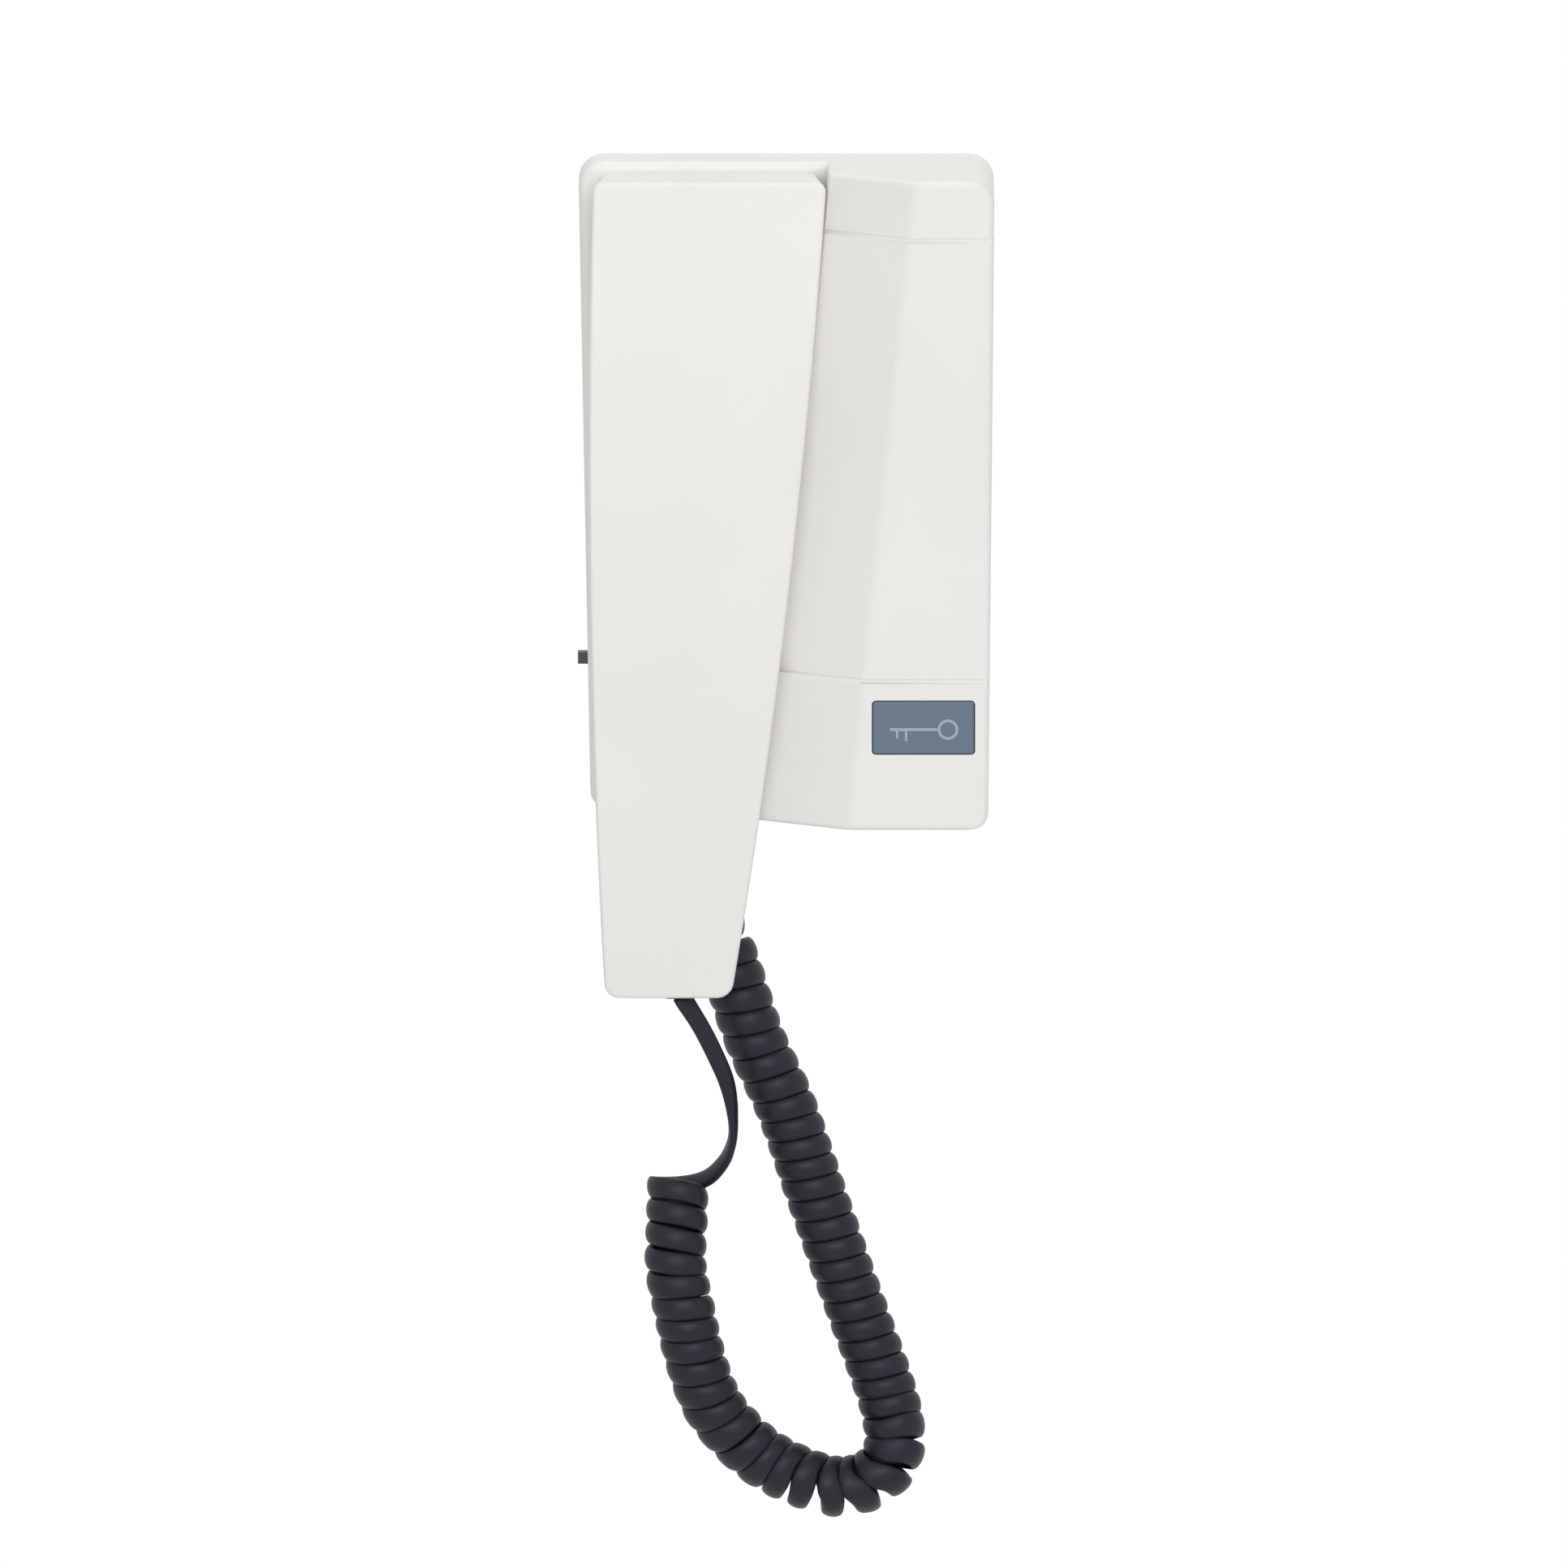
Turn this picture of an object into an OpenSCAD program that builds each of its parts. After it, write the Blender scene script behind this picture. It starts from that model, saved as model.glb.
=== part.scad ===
// Wall-hung audio intercom: a base with a door button, and a handset on a curly cord.
// The wall is the plane y = 0 and the front faces -y. Depths from the wall are written t, so y = -t.

/* [Base housing] */
// Width of the base along its top
base_w = 104; // [98:1:112]
// Height of the base
base_h = 165; // [158:1:176]
// How far the left edge comes in at the bottom
left_taper = 3; // [1:0.5:4]
// How far the right edge comes in at the bottom
right_taper = 1.5; // [0:0.5:4]
// Depth of the thin part that carries the handset
cradle_t = 12; // [11.5:0.5:14]
// Depth of the flat front panel
panel_t = 40; // [38:0.5:44]
// Depth of the low edge of the slope beside the handset
slope_t = 26.5; // [25:0.5:28]
// Wall thickness of the front cover
cover_wall = 2.2; // [1.8:0.1:2.4]
// Radius of the base's upper corners seen from the front
base_corner_r = 6.5; // [5:0.5:8]
// Radius of the base's lower corners seen from the front
foot_corner_r = 4.5; // [3:0.5:5]
// Rounding of the thin part's outer edge
cradle_edge_r = 2; // [1:0.25:2.5]
// Rounding of the panel's outer edge
panel_edge_r = 1.5; // [0.75:0.25:2]
// Width of the flat panel along the top
panel_top_w = 19.7; // [18:0.1:22]
// Width of the flat panel along the bottom
panel_bottom_w = 35; // [33.5:0.1:36.5]
// Distance of the upper groove from the top
upper_groove_drop = 14.8; // [10:0.1:20]
// Distance of the lower groove from the bottom
lower_groove_rise = 38.2; // [34:0.1:42]
// Width of a groove
groove_w = 0.8; // [0.6:0.1:1.4]
// Depth of a groove
groove_depth = 0.4; // [0.3:0.1:0.9]

/* [Wall plate] */
// Thickness of the wall plate
plate_t = 2.5; // [2:0.1:3]
// Gap between the wall plate and the cover around it
plate_gap = 0.3; // [0.2:0.1:0.6]
// Distance between the two wall screw holes
wall_screw_spacing = 83.5; // [70:0.5:90]
// Radius of a wall screw hole
wall_screw_r = 2.2; // [1.8:0.1:2.6]
// Width of the opening for the wires
wire_window_w = 26; // [16:1:30]
// Height of the opening for the wires
wire_window_h = 34; // [20:1:40]

/* [Handset] */
// Length of the handset
handset_len = 207.5; // [200:0.5:214]
// Width of the handset along its top
handset_top_w = 58.5; // [56:0.5:60]
// Width of the handset along its bottom
handset_bottom_w = 31.5; // [30:0.5:34]
// Gap between the top of the base and the top of the handset
handset_drop = 2.5; // [2:0.5:5]
// Gap between the left edges of the base and of the handset at the top
handset_margin = 3.6; // [3:0.1:5]
// How far the handset's left edge comes in at its bottom
handset_lean = 3.1; // [2:0.1:4]
// Bow of the left edge
left_bow = 2.2; // [0:0.1:2.4]
// Bow of the right edge
right_bow = 2.4; // [0:0.1:3]
// Depth of the front at the top end
handset_top_t = 28; // [27:0.5:30]
// Depth of the front at the bottom end
handset_bottom_t = 28.5; // [27:0.5:31]
// Bow of the front along its length
front_bow = 8; // [5:0.5:9]
// How far the lower end stands further from the wall than the rest of the back
toe_lift = 4.7; // [4.5:0.1:6]
// Wall thickness of the two shells
shell_wall = 2.1; // [1.8:0.1:2.4]
// Radius of the upper corners seen from the front
handset_top_r = 2.5; // [2.5:0.25:4]
// Radius of the lower corners seen from the front
handset_corner_r = 3.5; // [3:0.5:5]
// Rounding of the front edge
front_edge_r = 1; // [0.75:0.25:2]
// Rounding of the back edge
back_edge_r = 1.5; // [0.75:0.25:2]
// Depth of the line where the shells meet
split_t = 21; // [20:0.5:22]
// Gap between the handset and the base
handset_gap = 0.3; // [0.2:0.1:0.8]
// How much further in each side of the handset is at its back than at its front
side_draft = 2; // [1:0.1:2.2]
// Gap behind the handset where it lies on the base
seat_gap = 0.3; // [0.2:0.1:0.5]
// Radius of the receiver capsule
receiver_r = 17; // [14:0.5:18]
// Height of the receiver capsule
receiver_h = 8.5; // [7:0.5:9]
// Radius of the microphone capsule
mic_r = 4.9; // [4:0.1:5]
// Height of the microphone capsule
mic_h = 5; // [4:0.5:5.5]

/* [Door button] */
// Width of the button
button_w = 25.8; // [22:0.2:27]
// Height of the button
button_h = 13.8; // [10:0.2:16]
// Corner radius of the button
button_r = 1; // [0.5:0.1:2]
// Distance of the button's middle from the bottom of the base
button_rise = 26.3; // [24:0.1:28]
// Distance of the button's middle from the right edge of the base
button_edge = 16.44; // [16.3:0.02:18]
// How far the button travels
button_travel = 1; // [0.6:0.1:1.2]
// Gap around the button
button_gap = 0.25; // [0.2:0.05:0.4]

/* [Hook and volume switch] */
// Angle of the hook peg and of lifting the handset, up from straight out
lift_angle = 35; // [30:1:40]
// Width of the hook peg
peg_w = 10; // [8:0.5:12]
// Thickness of the hook peg
peg_h = 3; // [2.5:0.1:3.5]
// Radius of the lever's pivot pin
pivot_r = 1.25; // [1:0.05:1.4]
// Radial clearance of the lever on its pin
running_gap = 0.05; // [0.03:0.01:0.08]
// Width of the lever
lever_w = 8; // [6:0.5:9]
// Size of the volume knob along the edge and across it
knob_size = 3; // [2.5:0.1:3.2]
// How far the volume knob stands out of the base
knob_out = 2.5; // [1.5:0.1:3]
// How far the volume knob slides
knob_travel = 3; // [2:0.5:3.5]

/* [Cord] */
// Width of the flat cord
cord_w = 5.4; // [5:0.1:5.6]
// Thickness of the flat cord
cord_thick = 2.4; // [2:0.1:2.5]
// Radius of the middle of the cord in its curls
curl_r = 6.4; // [6.2:0.1:6.6]
// Number of curls, ending a quarter turn on
curls = 44; // [42:1:45]
// Gap left between neighbouring curls where they crowd
curl_gap = 0.4; // [0.3:0.1:0.8]

/* [Hidden] */
$fn = 48;

white = [0.93, 0.92, 0.90];
slate = [0.41, 0.48, 0.57];
charcoal = [0.19, 0.19, 0.21];
steel = [0.75, 0.76, 0.78];
board_green = [0.16, 0.36, 0.24];

// Ends of the base and of the handset
z_top = base_h / 2;
z_bot = -base_h / 2;
hs_top = z_top - handset_drop;
hs_bot = hs_top - handset_len;
hs_left_x = -base_w / 2 + handset_margin;
hs_right_x = hs_left_x + handset_top_w;
hs_left_end = hs_left_x + handset_lean;
hs_right_end = hs_left_end + handset_bottom_w;
back_t = cradle_t + seat_gap;
small = 0.01;
over = 1;
// How deep a boss or ear is sunk into the wall that carries it
bite = 1.2;

// Shares of a quarter circle at which a rounded end is cut into sections
end_shares = [0, 0.05, 0.134, 0.25, 0.37, 0.5, 0.74, 1];
quarter = [0, 30, 60, 90];

function mix(a, b, s) = a + (b - a) * s;
function unit(v) = v / norm(v);
function reversed(v) = [for (i = [len(v) - 1:-1:0]) v[i]];
// How far a quarter round of radius r draws in at distance d from its end
function draw_in(d, r) = d >= r ? 0 : r - sqrt(max(0, r * r - (r - d) * (r - d)));

// Edges of the base and of the handset, seen from the front
function base_left(z) = -base_w / 2 + left_taper * (z_top - z) / base_h;
function base_right(z) = base_w / 2 - right_taper * (z_top - z) / base_h;
function panel_edge(z) = base_right(z) - mix(panel_bottom_w, panel_top_w, (z - z_bot) / base_h);
function hs_share(z) = (z - hs_bot) / handset_len;
function bowed(s) = 4 * s * (1 - s);
function hs_left(z) = mix(hs_left_end, hs_left_x, hs_share(z)) - left_bow * bowed(hs_share(z));
function hs_right(z) = mix(hs_right_end, hs_right_x, hs_share(z)) + right_bow * bowed(hs_share(z));
function hs_front(z) = mix(handset_bottom_t, handset_top_t, hs_share(z)) + front_bow * bowed(hs_share(z));
toe_clear = 2.5;
toe_run = 14;
toe_start = z_bot - toe_clear;
toe_end = toe_start - toe_run;
function hs_back(z) = back_t + toe_lift * min(1, max(0, (toe_start - z) / (toe_start - toe_end)));
// How far the handset's side is drawn in at depth t
function side_in(z, t) =
    let (t1 = hs_front(z) - front_edge_r, t0 = hs_back(z) + back_edge_r)
        side_draft * min(1, max(0, (t1 - t) / (t1 - t0)));
function step_x(z) = hs_right(z) - side_in(z, slope_t) + handset_gap;

// Turns an outline drawn in x and z into a solid between two depths
module between(t0, t1) {
    rotate([90, 0, 0])
        translate([0, 0, t0])
            linear_extrude(t1 - t0)
                children();
}

module rounded_rect(w, h, r) {
    square([w - 2 * r, h], center = true);
    square([w, h - 2 * r], center = true);
    for (sx = [-1, 1], sz = [-1, 1])
        translate([sx * (w / 2 - r), sz * (h / 2 - r)])
            circle(r);
}

// A cylinder along the depth
module rod(x, z, t0, t1, r) {
    translate([x, 0, z])
        rotate([90, 0, 0])
            translate([0, 0, t0])
                cylinder(h = t1 - t0, r = r);
}

// A closed skin over rings of equal length, with a cap at each end
module skin(rings, caps_0, caps_1, turned = false) {
    n = len(rings[0]);
    sides = [
        for (j = [0:len(rings) - 2], i = [0:n - 1])
            let (a = j * n + i, b = j * n + (i + 1) % n, c = b + n, d = a + n)
                each turned ? [[a, c, b], [a, d, c]] : [[a, b, c], [a, c, d]]
    ];
    last = (len(rings) - 1) * n;
    polyhedron([for (r = rings) each r], concat(sides, caps_0, [for (f = caps_1) [for (i = f) i + last]]));
}

// Sections of the cover from top to bottom, and the same drawn in by w for its hollow
mid_sections = 8;
cover_stations = concat(
    [for (f = end_shares) z_top - f * base_corner_r],
    [for (i = [1:mid_sections - 1]) mix(z_top - base_corner_r, z_bot + base_corner_r, i / mid_sections)],
    [for (f = reversed(end_shares)) z_bot + f * base_corner_r]
);

function end_in(z, r) = max(draw_in(z_top - z, r), draw_in(z - z_bot, r));
step_soft = 0.8;
slope_soft = 1.5;

function cover_section(z) =
    let (
        xl = base_left(z) + max(draw_in(z_top - z, base_corner_r), draw_in(z - z_bot, foot_corner_r)),
        xr = base_right(z) - max(draw_in(z_top - z, base_corner_r), draw_in(z - z_bot, foot_corner_r)),
        t1 = cradle_t - end_in(z, cradle_edge_r),
        t2 = slope_t - end_in(z, panel_edge_r),
        t3 = panel_t - end_in(z, panel_edge_r),
        rise = unit([panel_edge(z) - step_x(z), t3 - t2])
    )
    [for (p = concat(
        [[xl, 0]],
        [for (a = quarter)
            [xl + cradle_edge_r * (1 - cos(a)), t1 - cradle_edge_r + cradle_edge_r * sin(a)]],
        [
            [step_x(z), t1],
            [step_x(z), t2 - step_soft],
            [step_x(z), t2] + step_soft * rise,
            [panel_edge(z), t3] - slope_soft * rise,
            [panel_edge(z) + slope_soft, t3]
        ],
        [for (a = reversed(quarter))
            [xr - panel_edge_r * (1 - cos(a)), t3 - panel_edge_r + panel_edge_r * sin(a)]],
        [[xr, 0]]
    )) [p[0], -p[1], z]];

function hollow_section(z, w) =
    let (
        r = base_corner_r - w,
        corner = max(draw_in(z_top - w - z, r), draw_in(z - z_bot - w, r)),
        xl = base_left(z) + w + corner,
        xr = base_right(z) - w - corner,
        rise = unit([panel_edge(z) - step_x(z), panel_t - slope_t]),
        lower = [step_x(z), slope_t] + w * [rise[1], -rise[0]],
        low_x = step_x(z) + w,
        low_t = lower[1] + (low_x - lower[0]) * rise[1] / rise[0],
        high_x = lower[0] + (panel_t - w - lower[1]) * rise[0] / rise[1]
    )
    [for (p = [
        [xl, -over],
        [xl, cradle_t - w],
        [low_x, cradle_t - w],
        [low_x, low_t],
        [high_x, panel_t - w],
        [xr, panel_t - w],
        [xr, -over]
    ]) [p[0], -p[1], z]];

// Triangles that close a section, all from its last point, which sees every other point
function section_cap(n) = [for (i = [0:n - 3]) [n - 1, i, i + 1]];

module cover_skin(rings) {
    cap = section_cap(len(rings[0]));
    skin(rings, [for (f = cap) reversed(f)], cap);
}

module cover_outside() {
    cover_skin([for (z = cover_stations) cover_section(z)]);
}

module cover_hollow() {
    r = base_corner_r - cover_wall;
    stations = concat(
        [for (f = [0, 0.134, 0.5, 1]) z_top - cover_wall - f * r],
        [for (i = [1:mid_sections - 1])
            mix(z_top - base_corner_r, z_bot + base_corner_r, i / mid_sections)],
        [for (f = [1, 0.5, 0.134, 0]) z_bot + cover_wall + f * r]
    );
    cover_skin([for (z = stations) hollow_section(z, cover_wall)]);
}

// Places inside the base
inner_t = cradle_t - cover_wall;
panel_in_t = panel_t - cover_wall;
button_z = z_bot + button_rise;
button_x = base_right(button_z) - button_edge;
knob_rise = 37.9;
knob_z = z_bot + knob_rise;
knob_t = (plate_t + inner_t) / 2;
peg_z = 14;
peg_side = 24.2;
peg_x = hs_left(peg_z) + peg_side;
peg_reach = 7.5;
lever_z = 10;
pivot_side = 1.4;
pivot_x = step_x(lever_z) - pivot_side;
pivot_t = plate_t + 3.8;
tip_side = 12;
tip_x = peg_x + tip_side;
tip_w = 5;
slot_gap = 1;
lug_h = 3.6;
lug_gap = 0.3;
spring_room = 4.4;
lug_r = 2.6;
bush_side = 29;
bush_x = base_left(z_bot) + bush_side;
bush_t = (plate_t + inner_t) / 2;
bush_w = 6.4;
bush_h = 4;
flange = 0.6;
bush_gap = 0.1;
screw_r = 1.45;
screw_gap = 0.05;
head_r = 2.7;
head_h = 1.6;
recess_w = 3.4;
recess_wall = 0.8;
recess_deep = 0.7;
cover_screw_side = 11;
cover_screw_x = [base_left(z_bot) + cover_screw_side, base_right(z_bot) - cover_screw_side];
tongue_w = 12;
tongue_h = 1.3;
tongue_t = 1.4;
tongue_gap = 0.3;
tongue_side = 20;
tongue_x = [base_left(z_top) + tongue_side, base_right(z_top) - tongue_side];
screw_lug_w = 8;
screw_lug_h = 6;
screw_lug_t = inner_t - plate_gap;
cover_screw_t = (plate_t + screw_lug_t) / 2;

// Main board, hung from the panel on bosses
board_thick = 1.6;
board_t = panel_in_t - 12.2 - board_thick;
board_w = 30;
board_edge = 1.2;
board_x = base_right(z_bot) - cover_wall - board_edge - board_w;
board_foot = 8;
board_z = z_bot + board_foot;
board_head = 14;
board_h = base_h - board_foot - board_head;
board_boss_r = 3;
board_screw_bite = 8;
board_boss_edge = 4;
board_posts = [for (sx = [0, 1], sz = [0, 1]) if (sx == 1 || sz == 0)
    [board_x + mix(board_boss_edge, board_w - board_boss_edge, sx),
     board_z + mix(board_boss_edge, board_h - board_boss_edge, sz)]];

// One slot through the panel and slope, as deep as the groove
module groove(z) {
    rise = unit([panel_edge(z) - step_x(z), panel_t - slope_t]);
    low = [step_x(z), slope_t] + groove_depth * [rise[1], -rise[0]] - 2 * rise;
    high = [low[0] + (panel_t - groove_depth - low[1]) * rise[0] / rise[1], panel_t - groove_depth];
    edge = [base_right(z) - groove_depth, panel_t - groove_depth];
    points = [
        low,
        high,
        edge,
        [edge[0], panel_t - panel_edge_r - over],
        [edge[0] + 3, panel_t - panel_edge_r - over],
        [edge[0] + 3, panel_t + 3],
        [high[0] - 2, panel_t + 3],
        [low[0] - 2, low[1] + 3]
    ];
    translate([0, 0, z - groove_w / 2])
        linear_extrude(groove_w)
            polygon([for (p = points) [p[0], -p[1]]]);
}

// The peg leans up and out from the cradle's face
module peg() {
    out = [cos(lift_angle), sin(lift_angle)];
    across = [-sin(lift_angle), cos(lift_angle)] * peg_h / 2;
    root = [cradle_t, peg_z] - bite / cos(lift_angle) * out;
    end = [cradle_t, peg_z] + peg_reach * out;
    translate([peg_x - peg_w / 2, 0, 0])
        rotate([90, 0, 90])
            linear_extrude(peg_w)
                polygon([for (p = [root - across, end - across, end + across, root + across]) [-p[0], p[1]]]);
}

// Two ears under the cradle's face that carry the lever's pin
module pivot_lugs() {
    for (z0 = [lever_z - lever_w / 2 - lug_gap - lug_h, lever_z + lever_w / 2 + spring_room]) {
        difference() {
            translate([pivot_x - lug_r, -inner_t - bite, z0])
                cube([2 * lug_r, inner_t - pivot_t + lug_r + bite, lug_h]);
            translate([pivot_x, -pivot_t, z0 - over])
                cylinder(h = lug_h + 2 * over, r = pivot_r + running_gap);
        }
    }
}

sound_slots = 6;
sound_slot_w = 1.6;
sound_slot_t = 14;
sound_slot_edge = 7;
sound_step = 4;
ringer_r = 10;
ringer_h = 9;
ringer_x = board_x + board_w - ringer_r - board_edge;
ringer_drop = 46;
ringer_z = z_top - ringer_drop;

module front_cover() {
    color(white)
        union() {
            difference() {
                cover_outside();
                cover_hollow();
                groove(z_top - upper_groove_drop);
                groove(z_bot + lower_groove_rise);
                translate([button_x, 0, button_z])
                    between(panel_in_t - over, panel_t + over)
                        rounded_rect(button_w, button_h, button_r);
                // Slot for the hook lever
                translate([tip_x - tip_w / 2 - slot_gap, -cradle_t - over, lever_z - lever_w / 2 - slot_gap])
                    cube([tip_w + 3 * slot_gap, cover_wall + 2 * over, lever_w + 2 * slot_gap]);
                // Slot for the volume knob
                translate([base_left(knob_z) - over, -knob_t - knob_size / 2 - slot_gap / 2,
                           knob_z - knob_size / 2 - slot_gap / 2])
                    cube([cover_wall + 3 * over, knob_size + slot_gap, knob_size + knob_travel + slot_gap]);
                // Hole for the cord's bush
                translate([bush_x - bush_w / 2, -bush_t - bush_h / 2, z_bot - over])
                    cube([bush_w, bush_h, cover_wall + 2 * over]);
                // Screw holes in the bottom wall
                for (x = cover_screw_x)
                    translate([x, -cover_screw_t, z_bot - over])
                        cylinder(h = cover_wall + 2 * over, r = screw_r + screw_gap);
                // Pockets over the plate's tongues
                for (x = tongue_x)
                    translate([x - tongue_w / 2 - tongue_gap, -plate_t - tongue_gap, z_top - cover_wall - over])
                        cube([tongue_w + 2 * tongue_gap, tongue_t + 2 * tongue_gap,
                              over + tongue_h + tongue_gap - plate_gap]);
                // Sound slots in the right wall
                for (i = [0:sound_slots - 1])
                    translate([base_w / 2 - right_taper - cover_wall - over, -panel_t + sound_slot_edge,
                               ringer_z + (i - (sound_slots - 1) / 2) * sound_step - sound_slot_w / 2])
                        cube([cover_wall + right_taper + 2 * over, sound_slot_t, sound_slot_w]);
            }
            peg();
            pivot_lugs();
            for (p = board_posts)
                difference() {
                    rod(p[0], p[1], board_t + board_thick, panel_in_t + bite, board_boss_r);
                    rod(p[0], p[1], board_t, panel_in_t - 2, screw_r + screw_gap);
                }
        }
}

// Flat plate inside the cover's rim, with lugs for the two bottom screws
module wall_plate() {
    inset = cover_wall + plate_gap;
    zt = z_top - inset;
    zb = z_bot + inset;
    r = base_corner_r - inset;
    corners = [
        for (c = [[base_right(zt) - inset - r, zt - r, 0], [base_left(zt) + inset + r, zt - r, 90],
                  [base_left(zb) + inset + r, zb + r, 180], [base_right(zb) - inset - r, zb + r, 270]],
             a = quarter)
            [c[0] + r * cos(c[2] + a), c[1] + r * sin(c[2] + a)]
    ];
    color(white)
        difference() {
            union() {
                between(0, plate_t)
                    polygon(corners);
                for (x = cover_screw_x)
                    translate([x - screw_lug_w / 2, -screw_lug_t, zb])
                        cube([screw_lug_w, screw_lug_t - plate_t + bite, screw_lug_h]);
                for (x = tongue_x)
                    translate([x - tongue_w / 2, -plate_t, zt - bite])
                        cube([tongue_w, tongue_t, bite + tongue_h]);
            }
            for (s = [-1, 1])
                rod(0, s * wall_screw_spacing / 2, -over, plate_t + over, wall_screw_r);
            translate([board_x + board_w / 2, 0, terminal_z])
                between(-over, plate_t + over)
                    rounded_rect(wire_window_w, wire_window_h, 2);
            for (x = cover_screw_x)
                translate([x, -cover_screw_t, zb - over])
                    cylinder(h = screw_lug_h + 2 * over, r = screw_r + screw_gap);
        }
}

// A pan head screw standing on its head along +z
module screw(shank) {
    difference() {
        translate([0, 0, -head_h])
            cylinder(h = head_h, r = head_r);
        // Cross recess
        for (a = [0, 90])
            rotate(a)
                translate([-recess_w / 2, -recess_wall / 2, -head_h - over])
                    cube([recess_w, recess_wall, recess_deep + over]);
    }
    translate([0, 0, -head_h / 2])
        cylinder(h = shank + head_h / 2, r = screw_r);
}

module cover_screws() {
    color(steel)
        for (x = cover_screw_x)
            translate([x, -cover_screw_t, z_bot])
                screw(cover_wall + plate_gap + screw_lug_h - 1);
}

// Board with its four-way terminal block towards the wall
terminal_w = 20;
terminal_h = 10;
terminal_depth = 9;
terminal_z = z_top - ringer_drop;
terminal_count = 4;

module main_board() {
    color(board_green)
        difference() {
            translate([board_x, -board_t - board_thick, board_z])
                cube([board_w, board_thick, board_h]);
            // The corner under the slope is cut away
            translate([board_x, 0, board_z])
                between(board_t - over, board_t + board_thick + over)
                    polygon([[-over, board_h + over], [-over, board_h * 0.45], [board_w * 0.3, board_h + over]]);
            for (p = board_posts)
                rod(p[0], p[1], board_t - over, board_t + board_thick + over, screw_r + screw_gap);
        }
}

module board_screws() {
    color(steel)
        for (p = board_posts)
            translate([p[0], -board_t, p[1]])
                rotate([90, 0, 0])
                    screw(board_thick + board_screw_bite);
}

module terminal_block() {
    pitch = terminal_w / terminal_count;
    color([0.25, 0.45, 0.35])
        difference() {
            translate([board_x + board_w / 2 - terminal_w / 2, -board_t, terminal_z - terminal_h / 2])
                cube([terminal_w, terminal_depth, terminal_h]);
            for (i = [0:terminal_count - 1]) {
                x = board_x + board_w / 2 + (i - (terminal_count - 1) / 2) * pitch;
                rod(x, terminal_z + 1, board_t - terminal_depth - over, board_t - terminal_depth + 4, 1.7);
                translate([x - 1.4, -board_t + terminal_depth - 6, terminal_z - terminal_h / 2 - over])
                    cube([2.8, 3, 4]);
            }
        }
}

module terminal_screws() {
    pitch = terminal_w / terminal_count;
    color(steel)
        for (i = [0:terminal_count - 1]) {
            x = board_x + board_w / 2 + (i - (terminal_count - 1) / 2) * pitch;
            difference() {
                rod(x, terminal_z + 1, board_t - terminal_depth + 1, board_t - terminal_depth + 4, 1.6);
                translate([x - 2, -board_t + terminal_depth - 1.6, terminal_z + 0.7])
                    cube([4, 1, 0.6]);
            }
        }
}

// Sounder on the front of the board, open at its middle
module ringer() {
    color(charcoal)
        difference() {
            rod(ringer_x, ringer_z, board_t + board_thick, board_t + board_thick + ringer_h, ringer_r);
            rod(ringer_x, ringer_z, board_t + board_thick + 3, board_t + board_thick + ringer_h + over, 2);
        }
}

// Two capacitors and a transformer on the front of the board
capacitor_r = [4, 3];
capacitor_h = [9, 7];
capacitor_x = [-5, 6];
capacitor_z = [10, 4];
coil_w = 12;
coil_h = 14;
coil_depth = 8;
coil_z = -15;

module board_parts() {
    front = board_t + board_thick;
    color([0.2, 0.25, 0.45]) {
        for (i = [0, 1])
            rod(ringer_x + capacitor_x[i], capacitor_z[i], front, front + capacitor_h[i], capacitor_r[i]);
        translate([ringer_x - coil_w / 2, -front - coil_depth, coil_z - coil_h / 2])
            cube([coil_w, coil_depth, coil_h]);
    }
}

switch_w = 8;
switch_depth = 6.5;
switch_h = 12;
hook_switch_side = 3.5;
hook_switch_x = board_x + hook_switch_side;
tail_end_t = board_t - switch_depth - 0.3;

module hook_switch() {
    color(charcoal)
        translate([hook_switch_x, -board_t, lever_z - switch_h / 2])
            cube([switch_w, switch_depth, switch_h]);
}

module hook_pin() {
    length = lever_w + lug_gap + 2 * lug_h + spring_room;
    color(steel)
        translate([pivot_x, -pivot_t, lever_z - lever_w / 2 - lug_gap - lug_h])
            cylinder(h = length, r = pivot_r);
}

// Lever with a tip in the cradle's face and a tail under the switch
lever_back = plate_t + 0.7;
lever_bar = 2.4;
tail_w = 5;
tail_x = hook_switch_x + 0.75 * switch_w;

module hook_lever() {
    tip = [tip_x - tip_w / 2, tip_x + tip_w / 2];
    knee_x = step_x(lever_z) + cover_wall + 2.4;
    arm = [
        [tip[0], lever_back],
        [pivot_x + 1, lever_back],
        [pivot_x + tail_w, lever_back + 1],
        [tail_x, tail_end_t - 3.2],
        [tail_x, tail_end_t],
        [tail_x - tail_w, tail_end_t],
        [knee_x, inner_t - 1],
        [pivot_x, pivot_t + lug_r - 0.1],
        [pivot_x - lug_r, lever_back + lever_bar],
        [tip[1], lever_back + lever_bar],
        [tip[1], cradle_t - 1.5],
        [tip[1] - 1, cradle_t],
        [tip[0] + 1, cradle_t],
        [tip[0], cradle_t - 1.5]
    ];
    color(charcoal)
        translate([0, 0, lever_z - lever_w / 2])
            difference() {
                union() {
                    linear_extrude(lever_w)
                        polygon([for (p = arm) [p[0], -p[1]]]);
                    translate([pivot_x, -pivot_t, 0])
                        cylinder(h = lever_w, r = lug_r);
                }
                translate([pivot_x, -pivot_t, -over])
                    cylinder(h = lever_w + 2 * over, r = pivot_r + running_gap);
            }
}

// Tubes swept along a path, with the flat side and width given at each point
function ring_at(p, along, wide, half_w, half_t, sides) =
    let (w = unit(wide - along * (wide * along)), n = cross(along, w))
        [for (i = [0:sides - 1])
            p + half_w * cos(i * 360 / sides) * w + half_t * sin(i * 360 / sides) * n];

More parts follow.
